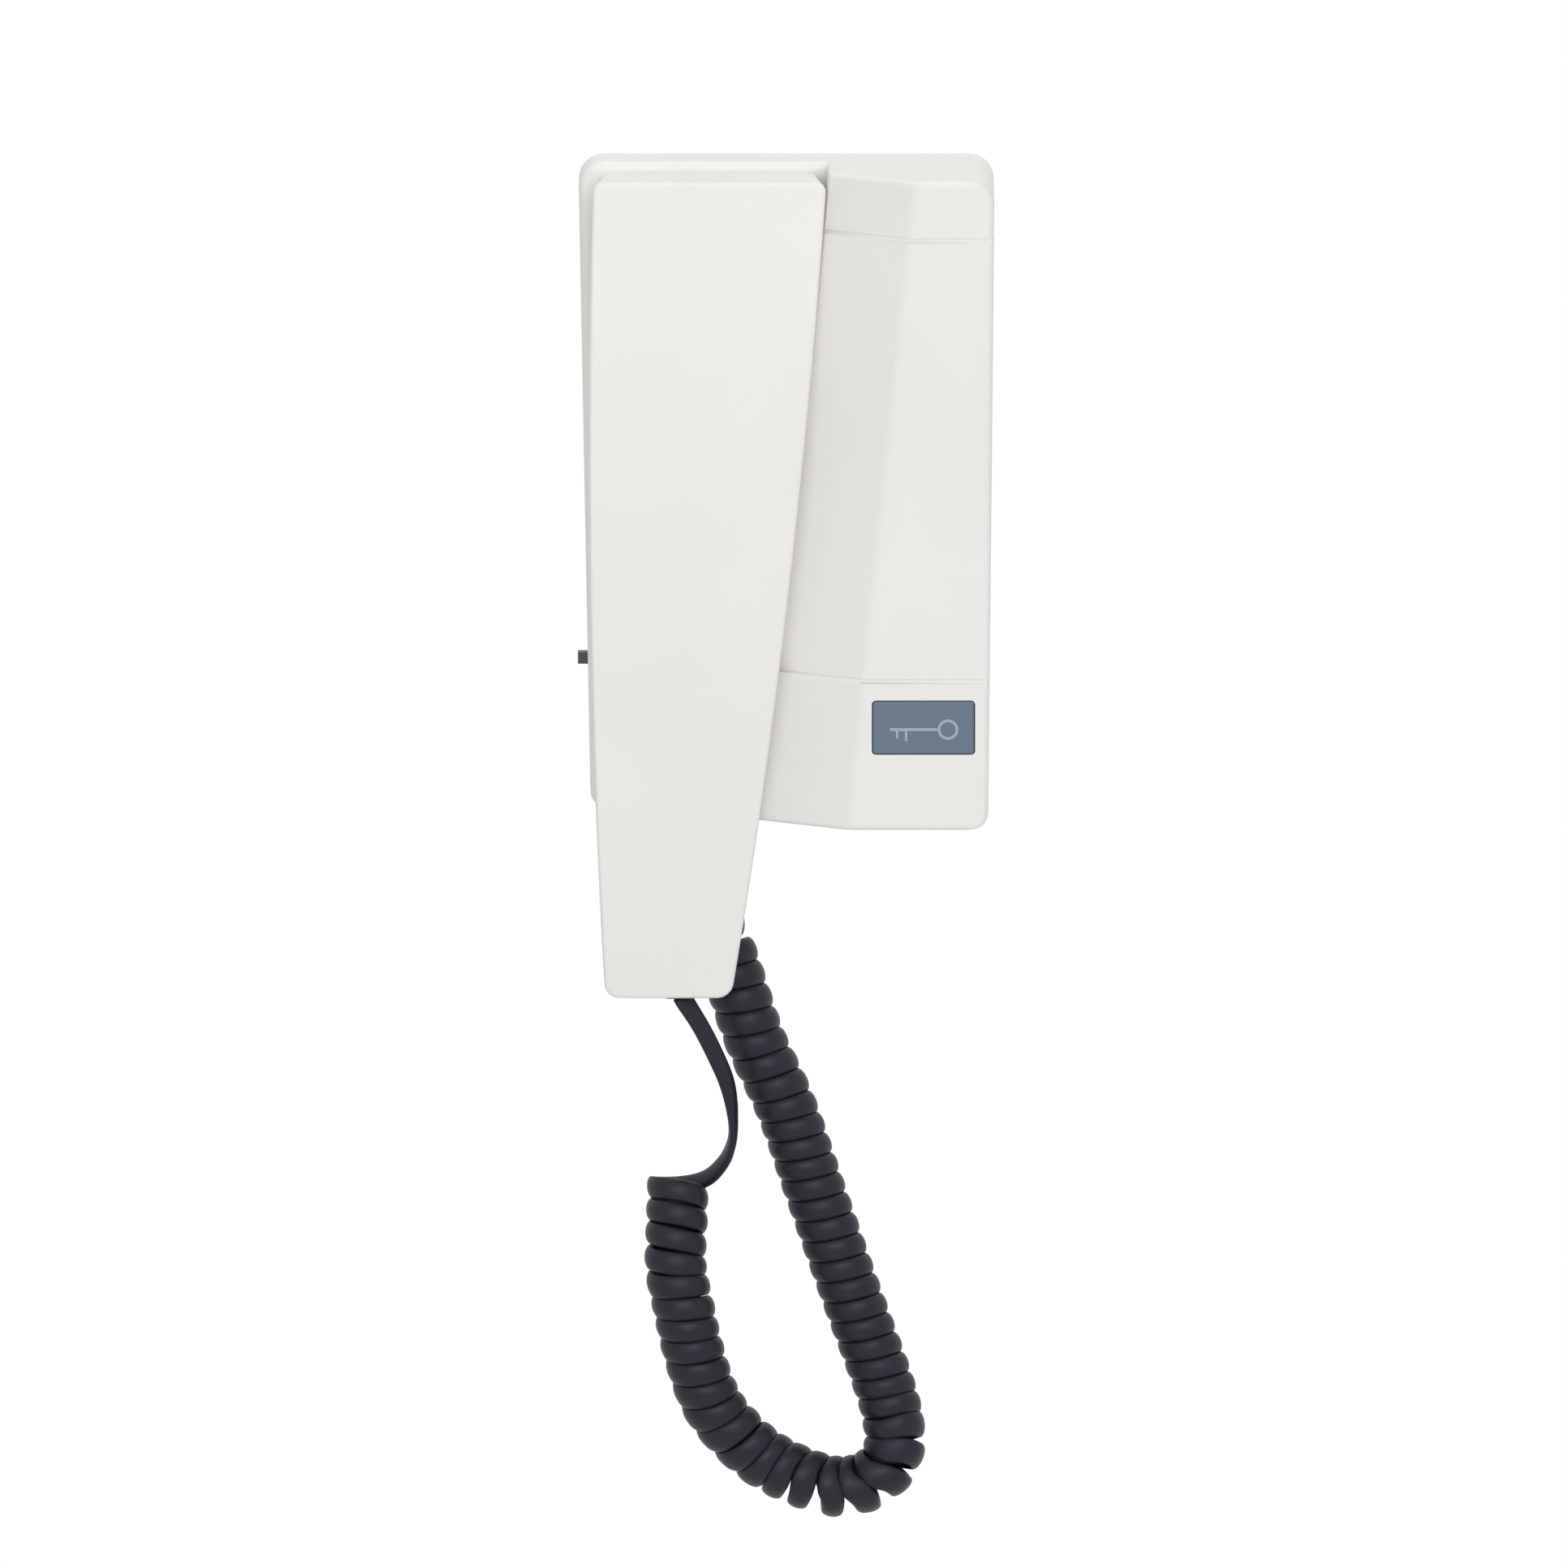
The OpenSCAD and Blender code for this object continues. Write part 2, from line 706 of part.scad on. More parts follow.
function directions(path) =
    [for (i = [0:len(path) - 1])
        unit(path[min(i + 1, len(path) - 1)] - path[max(i - 1, 0)])];

module tube(path, wides, half_ws, half_t, sides) {
    along = directions(path);
    rings = [for (i = [0:len(path) - 1]) ring_at(path[i], along[i], wides[i], half_ws[i], half_t, sides)];
    fan = [for (i = [1:sides - 2]) [0, i, i + 1]];
    skin(rings, fan, [for (f = fan) reversed(f)], true);
}

spring_wire = 0.35;
spring_r = pivot_r + spring_wire + 0.1;
spring_turns = 3;
spring_leg = 6;
spring_z = lever_z + lever_w / 2 + 0.6;

// Torsion spring on the pin, one leg along the cover and one along the lever's tail
module hook_spring() {
    rings = 8;
    pitch = (spring_room - 1.4) / spring_turns;
    coil = [for (k = [0:spring_turns * rings])
        [pivot_x + spring_r * cos(90 + k * 360 / rings), -pivot_t + spring_r * sin(90 + k * 360 / rings),
         spring_z + pitch * k / rings]];
    last = coil[len(coil) - 1];
    path = concat([coil[0] + [spring_leg, 0, 0]], coil, [last - [spring_leg, 0, 0]]);
    color(steel)
        tube(path, [for (p = path) [0, 0, 1]], [for (p = path) spring_wire], spring_wire, 6);
}

// Door button: a cap in the panel with a flange behind it and a stem towards the switch
flange_out = 1;
flange_t = 1.5;
flange_gap = 0.3;
cap_back_t = panel_in_t - flange_gap - flange_t;
door_switch_w = 6;
door_switch_h = 3.5;
stem_r = 1.7;
stem_top_t = cap_back_t - 2.5;

module door_button() {
    color(slate) {
        translate([button_x, 0, button_z]) {
            between(cap_back_t, panel_t)
                rounded_rect(button_w - 2 * button_gap, button_h - 2 * button_gap, button_r - button_gap);
            between(cap_back_t, cap_back_t + flange_t)
                rounded_rect(button_w + 2 * flange_out, button_h + 2 * flange_out, button_r);
        }
        rod(button_x, button_z, stem_top_t, cap_back_t + bite, stem_r + 1);
    }
}

module door_switch() {
    front = board_t + board_thick;
    color(charcoal)
        difference() {
            translate([button_x - door_switch_w / 2, -front - door_switch_h, button_z - door_switch_w / 2])
                cube([door_switch_w, door_switch_h, door_switch_w]);
            rod(button_x, button_z, front + 0.5, front + door_switch_h + over, stem_r + running_gap);
        }
}

module door_switch_stem() {
    front = board_t + board_thick;
    color([0.9, 0.9, 0.85])
        rod(button_x, button_z, front + 0.5 + button_travel + 0.2, stem_top_t, stem_r);
}

// Slide switch for the ringing volume, with its knob through the left wall
switch_body_w = 4;
switch_body_h = 11;

module volume_switch() {
    x = base_left(knob_z) + cover_wall + plate_gap;
    color(steel)
        translate([x, -inner_t + plate_gap, knob_z + knob_travel / 2 - switch_body_h / 2])
            cube([switch_body_w, inner_t - plate_t - plate_gap, switch_body_h]);
}

module volume_knob() {
    x0 = base_left(knob_z) - knob_out;
    x1 = base_left(knob_z) + cover_wall + plate_gap;
    color(charcoal)
        translate([x0, -knob_t - knob_size / 2, knob_z - knob_size / 2])
            difference() {
                cube([x1 - x0 - small, knob_size, knob_size]);
                // Finger grooves across the end
                for (i = [1, 2])
                    translate([-over, -over, i * knob_size / 3 - 0.15])
                        cube([over + 0.3, knob_size + 2 * over, 0.3]);
            }
}

// Rubber bush of a flat cord, between a housing's bottom faces z0 (inside) and z1 (outside)
module cord_bush(x, t, z0, z1) {
    w = bush_w - 2 * bush_gap;
    h = bush_h - 2 * bush_gap;
    color(charcoal)
        translate([x, -t, 0]) {
            translate([-w / 2, -h / 2, z1 - flange / 2])
                cube([w, h, z0 - z1 + flange]);
            for (z = [z1 - flange, z0])
                translate([0, 0, z])
                    linear_extrude(flange)
                        rounded_rect(bush_w + 1.4, bush_h + 1.4, 1.4);
        }
}

module base_cord_bush() {
    cord_bush(bush_x, bush_t, z_bot + cover_wall, z_bot);
}

// Handset: rings of its outline from back to front, drawn in by d
corner_steps = [90, 67.5, 45, 22.5, 0];
hs_mid = 14;

function hs_ring(d, front, off) =
    let (
        rt = handset_top_r - d,
        rb = handset_corner_r - d,
        zt = hs_top - d,
        zb = hs_bot + d,
        stations = concat(
            [for (a = corner_steps) [zt - rt * (1 - sin(a)), rt * (1 - cos(a))]],
            [for (i = [1:hs_mid - 1]) [mix(zt - rt, zb + rb, i / hs_mid), 0]],
            [for (a = reversed(corner_steps)) [zb + rb * (1 - sin(a)), rb * (1 - cos(a))]]
        ),
        depth = [for (s = stations) front ? hs_front(s[0]) + off : hs_back(s[0]) + off],
        side = d + (front ? 0 : side_draft),
        n = len(stations)
    )
    concat(
        [for (i = [0:n - 1]) [hs_left(stations[i][0]) + side + stations[i][1], -depth[i], stations[i][0]]],
        [for (i = [n - 1:-1:0]) [hs_right(stations[i][0]) - side - stations[i][1], -depth[i], stations[i][0]]]
    );

module hs_skin(rings) {
    n = len(rings[0]);
    strip = [for (i = [0:n / 2 - 2]) each [[i, i + 1, n - 1 - i], [i + 1, n - 2 - i, n - 1 - i]]];
    skin(rings, strip, [for (f = strip) reversed(f)], true);
}

module handset_outside() {
    hs_skin(concat(
        [for (a = reversed(quarter))
            hs_ring(back_edge_r * (1 - cos(a)), false, back_edge_r * (1 - sin(a)))],
        [for (a = quarter)
            hs_ring(front_edge_r * (1 - cos(a)), true, -front_edge_r * (1 - sin(a)))]
    ));
}

module handset_hollow() {
    hs_skin([hs_ring(shell_wall, false, shell_wall), hs_ring(shell_wall, true, -shell_wall)]);
}

// A block as large as the handset, from one depth to another
module slice(t0, t1) {
    translate([-base_w, -t1, hs_bot - over])
        cube([2 * base_w, t1 - t0, handset_len + 2 * over]);
}

receiver_drop = 30;
receiver_z = hs_top - receiver_drop;
receiver_x = (hs_left(receiver_z) + hs_right(receiver_z)) / 2;
gasket_h = 0.8;
dish_r = receiver_r - 2;
dish_depth = 0.7;
seat_ring = 1.6;
mic_rise = 19;
mic_z = hs_bot + mic_rise;
boot_wall = 1.6;
mic_x = (hs_left(mic_z) + hs_right(mic_z)) / 2;
mic_back_t = hs_back(mic_z - mic_r - boot_wall) + shell_wall;
lead_x = (hs_left_end + hs_right_end) / 2 + 3;
lead_t = (hs_back(hs_bot) + hs_front(hs_bot)) / 2;
peg_gap = 0.5;
hs_screw_rise = [0.493, 0.251];
hs_screws = [for (s = hs_screw_rise) let (z = hs_bot + s * handset_len) [(hs_left(z) + hs_right(z)) / 2, z]];
hs_boss_r = 3.2;
hs_head_t = back_t + 3.4;

module bush_hole() {
    translate([lead_x - bush_w / 2, -lead_t - bush_h / 2, hs_bot - over])
        cube([bush_w, bush_h, shell_wall + 2 * over]);
}

module handset_front() {
    color(white)
        union() {
            difference() {
                handset_outside();
                handset_hollow();
                slice(0, split_t);
                bush_hole();
            }
            for (p = hs_screws)
                difference() {
                    rod(p[0], p[1], split_t - 3, hs_front(p[1]) - shell_wall + 0.3, hs_boss_r);
                    rod(p[0], p[1], split_t - 4, split_t + 7, screw_r + screw_gap);
                }
        }
}

// Ring of holes for the receiver's sound
module ear_holes() {
    for (ring = [[0, 1], [4.5, 6], [9, 12]], i = [0:ring[1] - 1])
        rod(receiver_x + ring[0] * cos(i * 360 / ring[1]), receiver_z + ring[0] * sin(i * 360 / ring[1]),
            0, back_t + shell_wall + over, 1.1);
}

module handset_back() {
    peg_half = peg_w / 2 + peg_gap;
    peg_low = peg_z - peg_h / 2 / cos(lift_angle) - peg_gap;
    peg_high = peg_z + peg_h / 2 / cos(lift_angle) + (shell_wall + over) * tan(lift_angle) + peg_gap;
    color(white)
        difference() {
            union() {
                difference() {
                    handset_outside();
                    handset_hollow();
                    slice(split_t, panel_t + 2 * over);
                    ear_holes();
                    rod(receiver_x, receiver_z, 0, back_t + dish_depth, dish_r);
                    // Slot for the base's peg
                    translate([peg_x - peg_half, -back_t - shell_wall - over, peg_low])
                        cube([2 * peg_half, shell_wall + 2 * over, peg_high - peg_low]);
                    for (i = [-1:1])
                        rod(mic_x + 2.6 * i, mic_z, 0, mic_back_t + over, 0.8);
                    bush_hole();
                }
                // Seat around the receiver
                difference() {
                    rod(receiver_x, receiver_z, back_t + shell_wall - bite,
                        back_t + shell_wall + gasket_h + 3, receiver_r + 0.3 + seat_ring);
                    rod(receiver_x, receiver_z, back_t + shell_wall,
                        back_t + shell_wall + gasket_h + 4, receiver_r + 0.3);
                }
                for (p = hs_screws)
                    rod(p[0], p[1], back_t + bite, split_t - 3, hs_boss_r);
            }
            for (p = hs_screws) {
                rod(p[0], p[1], 0, hs_head_t, head_r + 0.3);
                rod(p[0], p[1], 0, split_t, screw_r + screw_gap);
            }
        }
}

module handset_screws() {
    color(steel)
        for (p = hs_screws)
            translate([p[0], -hs_head_t, p[1]])
                rotate([90, 0, 0])
                    screw(split_t + 5 - hs_head_t);
}

module receiver_gasket() {
    color(charcoal)
        difference() {
            rod(receiver_x, receiver_z, back_t + shell_wall, back_t + shell_wall + gasket_h, receiver_r);
            rod(receiver_x, receiver_z, back_t, back_t + shell_wall + gasket_h + over, receiver_r - 3);
        }
}

module receiver() {
    t0 = back_t + shell_wall + gasket_h;
    color([0.3, 0.3, 0.32])
        union() {
            rod(receiver_x, receiver_z, t0, t0 + receiver_h * 0.6, receiver_r);
            rod(receiver_x, receiver_z, t0, t0 + receiver_h, receiver_r * 0.6);
        }
}

module microphone_boot() {
    color(charcoal)
        difference() {
            rod(mic_x, mic_z, mic_back_t, mic_back_t + mic_h + 1, mic_r + boot_wall);
            rod(mic_x, mic_z, mic_back_t + 1, mic_back_t + mic_h + 1 + over, mic_r + running_gap);
            rod(mic_x, mic_z, mic_back_t - over, mic_back_t + 1 + over, mic_r - 1.2);
        }
}

module microphone() {
    color(steel)
        rod(mic_x, mic_z, mic_back_t + 1, mic_back_t + 1 + mic_h, mic_r);
}

module handset_cord_bush() {
    cord_bush(lead_x, lead_t, hs_bot + shell_wall, hs_bot);
}

// Directions in which the curly part's two straight ends leave it
lead_way = unit([-0.6, -0.3, -0.74]);
base_way = unit([-0.4, -0.25, 0.88]);
lead_straight = 0.6 * cord_w;
// Routes of the cord as x, depth and z
bush_end_z = hs_bot - flange;
lead_stop = [-16.83, 14.2, -172.8];
lead_route = [
    [lead_x, lead_t, bush_end_z], [lead_x, lead_t, bush_end_z - cord_thick / 2], [-24.6, 22.4, -131.5],
    [-21.3, 22, -136.6], [-17.75, 21.3, -143.3], [-15, 20.3, -150.1], [-13.6, 19, -157], [-13.3, 17.3, -164],
    lead_stop - lead_straight * lead_way, lead_stop
];
// Middle line of the curls. Each point has the number of turns made before it, and how far the curl's
// outer side runs ahead of its inner side there
axis_route = [
    [-27.2, 15.2, -176.9, 0, 0], [-27.4, 17.8, -185.6, 1.5, 0], [-27.7, 20, -197.4, 3.5, 0],
    [-25.7, 20.9, -207.9, 5.5, 0], [-23.5, 20.8, -218.1, 7.5, 0], [-20.2, 20, -228.9, 9.5, 0],
    [-15.8, 19, -236.9, 11.2, 0], [-6.4, 17.8, -246.4, 13.15, 0.7], [4.5, 16.3, -252.4, 15.3, 2.2],
    [13.5, 15, -254.7, 16.65, 4], [22, 13.8, -252.5, 18.1, 5.6], [26.8, 12.8, -245.9, 19.4, 3],
    [26.8, 12, -238.4, 20.72, 1.5], [24, 10.9, -228, 22.8, 0], [15.8, 10.3, -205, 27.4, 0],
    [7.2, 9.8, -180, 32.25, 0], [0, 9.2, -159, 36.4, 0], [-7, 8.6, -142, 39.5, 0],
    [-12.5, 8.3, -127, 42.05, 0], [-17, 8.2, -114, 44.25, 0]
];
base_stop = [-14.2, 10, -101];
base_lead_route = [
    base_stop, base_stop + cord_w * base_way, [-18.6, 7.2, -90.5], [bush_x, bush_t, -86.5],
    [bush_x, bush_t, z_bot - flange]
];

function place(p) = [p[0], -p[1], p[2]];
function curve_at(a, b, c, d, u) =
    0.5 * (2 * b + (c - a) * u + (2 * a - 5 * b + 4 * c - d) * u * u + (3 * b - a - 3 * c + d) * u * u * u);
function smooth_route(points, steps) =
    let (n = len(points))
        concat(
            [for (i = [0:n - 2], k = [0:steps - 1])
                curve_at(points[max(i - 1, 0)], points[i], points[i + 1], points[min(i + 2, n - 1)], k / steps)],
            [points[n - 1]]
        );
function bezier(a, b, c, d, u) =
    a * pow(1 - u, 3) + 3 * b * u * pow(1 - u, 2) + 3 * c * u * u * (1 - u) + d * u * u * u;

axis_points = smooth_route(axis_route, 8);
axis_line = [for (p = axis_points) place(p)];
axis_reach = [for (i = 0, s = 0; i < len(axis_line); i = i + 1,
    s = s + (i < len(axis_line) ? norm(axis_line[i] - axis_line[i - 1]) : 0)) s];
axis_len = axis_reach[len(axis_reach) - 1];
axis_tables = [for (c = [0:2]) [for (i = [0:len(axis_line) - 1]) [axis_reach[i], axis_line[i][c]]]];
function axis_at(s) = [for (c = [0:2]) lookup(s, axis_tables[c])];
function axis_way(s) = unit(axis_at(min(s + 2, axis_len)) - axis_at(max(s - 2, 0)));

curl_rings = 8;
ring_count = curls * curl_rings + curl_rings / 4;
route_turns = axis_points[len(axis_points) - 1][3];
turn_table = [for (i = [0:len(axis_points) - 1]) [axis_points[i][3], axis_reach[i]]];
lean_table = [for (p = axis_points) [p[3], p[4]]];
function reach_at(k) = lookup(route_turns * k / ring_count, turn_table);
function lean_at(k) = lookup(route_turns * k / ring_count, lean_table);
start_turn = 90;
function curl_phase(k) = start_turn + k * 360 / curl_rings;
function curl_point(k) =
    let (s = reach_at(k), along = axis_way(s), side = unit(cross(along, [0, 1, 0])))
        axis_at(s) + curl_r * (cos(curl_phase(k)) * side + sin(curl_phase(k)) * cross(side, along))
            - along * lean_at(k) / 2 * cos(curl_phase(k));

curl_path = [for (k = [0:ring_count]) curl_point(k)];
// The cord comes in on edge and lies flat after a quarter turn
lead_flat = [0, 1, 0];
base_flat = [1, 0, 0];
curl_wide = [for (k = [0:ring_count])
    mix(lead_flat, axis_way(reach_at(k)), min(1, 0.15 + 3.6 * k / curl_rings))];
function spacing(k) = min(
    k + curl_rings <= ring_count ? norm(curl_path[k + curl_rings] - curl_path[k]) : 2 * cord_w,
    k - curl_rings >= 0 ? norm(curl_path[k - curl_rings] - curl_path[k]) : 2 * cord_w);
curl_half = [for (k = [0:ring_count]) min(cord_w, spacing(k) - curl_gap) / 2];

// Straight ends and the bends that lead from them into the first and last curl
bend_steps = 4;
lead_end = place(lead_stop);
lead_bend = lead_end + lead_straight * place(lead_way);
curl_start_way = unit(curl_path[1] - curl_path[0]);
lead_reach = norm(curl_path[0] - lead_bend) / 3;
start_bend = [for (i = [0:bend_steps - 1])
    bezier(lead_bend, lead_bend + lead_reach * place(lead_way), curl_path[0] - lead_reach * curl_start_way,
           curl_path[0], i / bend_steps)];
base_end = place(base_stop);
base_bend = base_end - cord_w * place(base_way);
curl_end_way = unit(curl_path[ring_count] - curl_path[ring_count - 1]);
base_reach = norm(base_bend - curl_path[ring_count]) / 2;
end_bend = [for (i = [1:bend_steps])
    bezier(curl_path[ring_count], curl_path[ring_count] + base_reach * curl_end_way,
           base_bend - base_reach * place(base_way), base_bend, i / bend_steps)];

cord_path = concat([lead_end], start_bend, curl_path, end_bend, [base_end]);
cord_wides = concat(
    [lead_flat],
    [for (i = [0:bend_steps - 1]) lead_flat],
    curl_wide,
    [for (i = [1:bend_steps]) mix(curl_wide[ring_count], base_flat, i / bend_steps)],
    [base_flat]
);
cord_halves = concat(
    [for (i = [0:bend_steps]) cord_w / 2],
    curl_half,
    [for (i = [0:bend_steps]) cord_w / 2]
);

// Least gap between neighbouring turns, measured between the corner points of their rings
cord_sides = 6;
module measure_gap() {
    along = directions(curl_path);
    rings = [for (k = [0:ring_count])
        ring_at(curl_path[k], along[k], curl_wide[k], curl_half[k], cord_thick / 2, cord_sides)];
    gaps = [for (k = [0:ring_count - curl_rings], j = [curl_rings - 1:curl_rings + 1])
        if (k + j <= ring_count)
            min([for (p = rings[k], q = rings[k + j]) norm(p - q)])];
    echo(least_gap = min(gaps), axis_len = axis_len);
    echo(pivot_x = pivot_x, pivot_t = pivot_t, lever_z = lever_z);
}

module curly_cord() {
    measure_gap();
    color(charcoal)
        tube(cord_path, cord_wides, cord_halves, cord_thick / 2, cord_sides);
}

module flat_lead(route, wide_start, wide_end) {
    path = [for (p = route) place(p)];
    n = len(path);
    color(charcoal)
        tube(path, [for (i = [0:n - 1]) mix(wide_start, wide_end, min(1, i / (n - 3)))],
             [for (p = path) cord_w / 2], cord_thick / 2, 8);
}

module handset_lead() {
    flat_lead(lead_route, [1, 0, 0], lead_flat);
}

module base_lead() {
    flat_lead(base_lead_route, base_flat, base_flat);
}

wall_plate();
front_cover();
cover_screws();
main_board();
board_screws();
board_parts();
terminal_block();
terminal_screws();
ringer();
hook_switch();
hook_pin();
hook_spring();
hook_lever();
door_switch();
door_button();
door_switch_stem();
volume_switch();
volume_knob();
base_cord_bush();
handset_front();
handset_back();
handset_screws();
receiver();
receiver_gasket();
microphone();
microphone_boot();
handset_cord_bush();
handset_lead();
curly_cord();
base_lead();
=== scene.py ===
# %% [markdown]
# # Audio intercom: wall base, handset and curly cord
# The CAD model gives every rigid piece its real size and place. This script dresses it:
# it gives the shells soft moulded edges, winds the curly cord, prints the sign on the door
# button, and sets the finishes, the light and the camera. All numbers are metres.

# %% Load the CAD frame
from math import cos, pi, radians, sin

import bpy
import numpy as np
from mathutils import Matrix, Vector


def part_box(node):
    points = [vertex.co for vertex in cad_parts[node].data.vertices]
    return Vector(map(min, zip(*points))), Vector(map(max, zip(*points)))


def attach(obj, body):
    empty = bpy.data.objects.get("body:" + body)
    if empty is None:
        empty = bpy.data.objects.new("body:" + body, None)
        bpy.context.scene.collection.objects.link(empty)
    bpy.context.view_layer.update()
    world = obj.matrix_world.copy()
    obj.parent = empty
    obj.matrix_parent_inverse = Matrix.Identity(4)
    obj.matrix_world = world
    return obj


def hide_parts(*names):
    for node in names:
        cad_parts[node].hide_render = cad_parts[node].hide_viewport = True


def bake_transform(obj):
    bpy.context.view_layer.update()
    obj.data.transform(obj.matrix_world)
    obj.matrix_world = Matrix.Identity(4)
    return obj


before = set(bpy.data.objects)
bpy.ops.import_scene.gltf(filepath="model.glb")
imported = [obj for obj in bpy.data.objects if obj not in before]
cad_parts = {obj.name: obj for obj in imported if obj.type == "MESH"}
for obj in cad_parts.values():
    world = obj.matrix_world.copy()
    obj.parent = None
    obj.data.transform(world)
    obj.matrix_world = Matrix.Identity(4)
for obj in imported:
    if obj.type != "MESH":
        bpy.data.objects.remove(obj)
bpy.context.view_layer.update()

# %% [markdown]
# ## The camera
# The picture was taken from far away, straight on and 11 degrees down. A long lens far off
# keeps upright edges parallel, as they are in the picture, so the lens and the distance are
# chosen together: they give the frame its 0.2 mm a pixel.

# %% Camera
EYE_DOWN = radians(10.9)
LOOK_AT = Vector((-0.00056, 0, -0.0782))
EYE_AWAY = 16.374
LENS_MM = 1500
SENSOR_MM = 36
SIGHT_END = 100

photo_camera = bpy.data.objects.new("photo_camera", bpy.data.cameras.new("photo_camera"))
bpy.context.scene.collection.objects.link(photo_camera)
photo_camera.data.lens = LENS_MM
photo_camera.data.sensor_width = SENSOR_MM
photo_camera.data.clip_end = SIGHT_END
photo_camera.location = LOOK_AT + EYE_AWAY * Vector((0, -cos(EYE_DOWN), sin(EYE_DOWN)))
photo_camera.rotation_euler = (radians(90) - EYE_DOWN, 0, 0)
bpy.context.scene.camera = photo_camera
bpy.context.scene.view_settings.view_transform = "Standard"
print("camera", EYE_AWAY, "m away, lens", LENS_MM, "mm")

# %% [markdown]
# ## The cord's route
# A handset cord is one flat cord, about 1.9 m long, most of it wound into tight curls. It
# comes out of the handset's lower end, hangs free, curls down into a loop and comes back up
# into the base. A curve object with a bevel could draw it, but its flat section would twist
# about freely, so the route is worked out here point by point and skinned as a mesh. The
# points are those of the CAD cord, a few of them moved by less than a millimetre to where the
# picture shows them. They are written as x, distance from the wall and z, in millimetres.

# %% Route points
def spot(x, t, z):
    return np.array((x, -t, z)) / 1000


def unit(v):
    return v / np.linalg.norm(v)


CORD_W = 0.0054
CORD_THICK = 0.0024
CURL_THICK = 0.0028
CURL_R = 0.0064
CURLS = 44.06
BASE_WAY = unit(spot(-0.25, -0.25, 0.93))
BASE_STOP = spot(-14.2, 10, -101)

lead_route = np.array([
    spot(-26.2, 22.75, -127.7), spot(-25.4, 22.7, -129.3), spot(-24, 22.4, -131.5),
    spot(-21, 22, -136.6), spot(-17.75, 21.3, -143.3), spot(-15, 20.3, -150.1),
    spot(-13.6, 19, -157), spot(-13.3, 17.3, -164), spot(-14.5, 15.6, -169.3),
    spot(-16.4, 14.2, -172.8), spot(-19.3, 12.6, -176), spot(-23.2, 10.6, -178)])
base_route = np.array([
    BASE_STOP, BASE_STOP + CORD_W * BASE_WAY, spot(-18.6, 7.2, -90.5), spot(-20, 6.15, -86.5),
    spot(-20, 6.15, -83.1)])
print("route points of the free ends:", len(lead_route), len(base_route))

# %% [markdown]
# ## The axis of the curls
# The curls don't lie evenly: they crowd in one place and open in another, and in the loop
# each curl swings round so that its outer side runs ahead. So each point of the axis has two
# more numbers: the turns wound before it, and how far the outer side runs ahead there, in mm.

# %% Axis points
TO_FRAME = (0.001, -0.001, 0.001, 1, 0.001)
axis_route = TO_FRAME * np.array([
    (-27.2, 15.2, -176.9, 0, 0), (-27.4, 17.8, -185.6, 1.62, 0), (-27.7, 20, -197.4, 3.65, 0),
    (-25.7, 20.9, -207.9, 5.6, 0), (-23.5, 20.8, -218.1, 7.53, 0), (-20.2, 20, -228.9, 9.5, 0),
    (-15.8, 19, -236.9, 11.08, 0), (-6.4, 17.8, -246.4, 13.2, 0.7), (4.5, 16.3, -252.4, 15.3, 2.2),
    (13.5, 15, -254.7, 16.65, 4), (22, 13.8, -252.5, 18.1, 5.6), (26.8, 12.8, -245.9, 19.4, 3),
    (26.8, 12, -238.4, 20.72, 1.5), (24, 10.9, -228, 22.8, 0), (15.8, 10.3, -205, 27.4, 0),
    (7.2, 9.8, -180, 32.25, 0), (0, 9.2, -159, 36.4, 0), (-7.7, 8.6, -142, 39.55, 0),
    (-12.7, 8.3, -127, 42.15, 0), (-17, 8.2, -114, 44.38, 0)])
print("axis points:", len(axis_route))

# %% [markdown]
# ## From points to smooth curves
# A Catmull-Rom curve passes through every point it is given, so the cord stays on its route.
# The free ends are then cut into equal steps of length, and the axis into equal steps of
# turning, 24 to a curl.

# %% Smooth curves
def smooth_route(points, steps):
    p = np.vstack([points[:1], points, points[-1:]])
    u = np.linspace(0, 1, steps, endpoint=False)[:, None]
    runs = [0.5 * (2 * p[i] + (p[i + 1] - p[i - 1]) * u
                   + (2 * p[i - 1] - 5 * p[i] + 4 * p[i + 1] - p[i + 2]) * u ** 2
                   + (3 * p[i] - p[i - 1] - 3 * p[i + 1] + p[i + 2]) * u ** 3)
            for i in range(1, len(p) - 2)]
    return np.vstack(runs + [points[-1:]])


def lengths(points):
    return np.concatenate([[0], np.cumsum(np.linalg.norm(np.diff(points, axis=0), axis=1))])


def even_steps(points, count):
    far = lengths(points)
    at = np.linspace(0, far[-1], count)
    return np.column_stack([np.interp(at, far, points[:, i]) for i in range(3)])


def directions(points):
    ways = np.gradient(points, axis=0)
    return ways / np.linalg.norm(ways, axis=1)[:, None]


def bend(a, a_way, b, b_way, reach, count):
    u = np.linspace(0, 1, count)[:, None]
    c, d = a + reach * a_way, b - reach * b_way
    return (1 - u) ** 3 * a + 3 * (1 - u) ** 2 * u * c + 3 * (1 - u) * u ** 2 * d + u ** 3 * b


RINGS = 24
AXIS_STEPS = 24
ring_count = int(CURLS * RINGS)
turned = np.linspace(0, CURLS, ring_count + 1)
*axis_xyz, axis_turns, axis_ahead = smooth_route(axis_route, AXIS_STEPS).T
axis_line = np.column_stack([np.interp(turned, axis_turns, values) for values in axis_xyz])
ahead = np.interp(turned, axis_turns, axis_ahead)
print("axis of the curls:", round(lengths(axis_line)[-1], 4), "m in", ring_count, "steps")

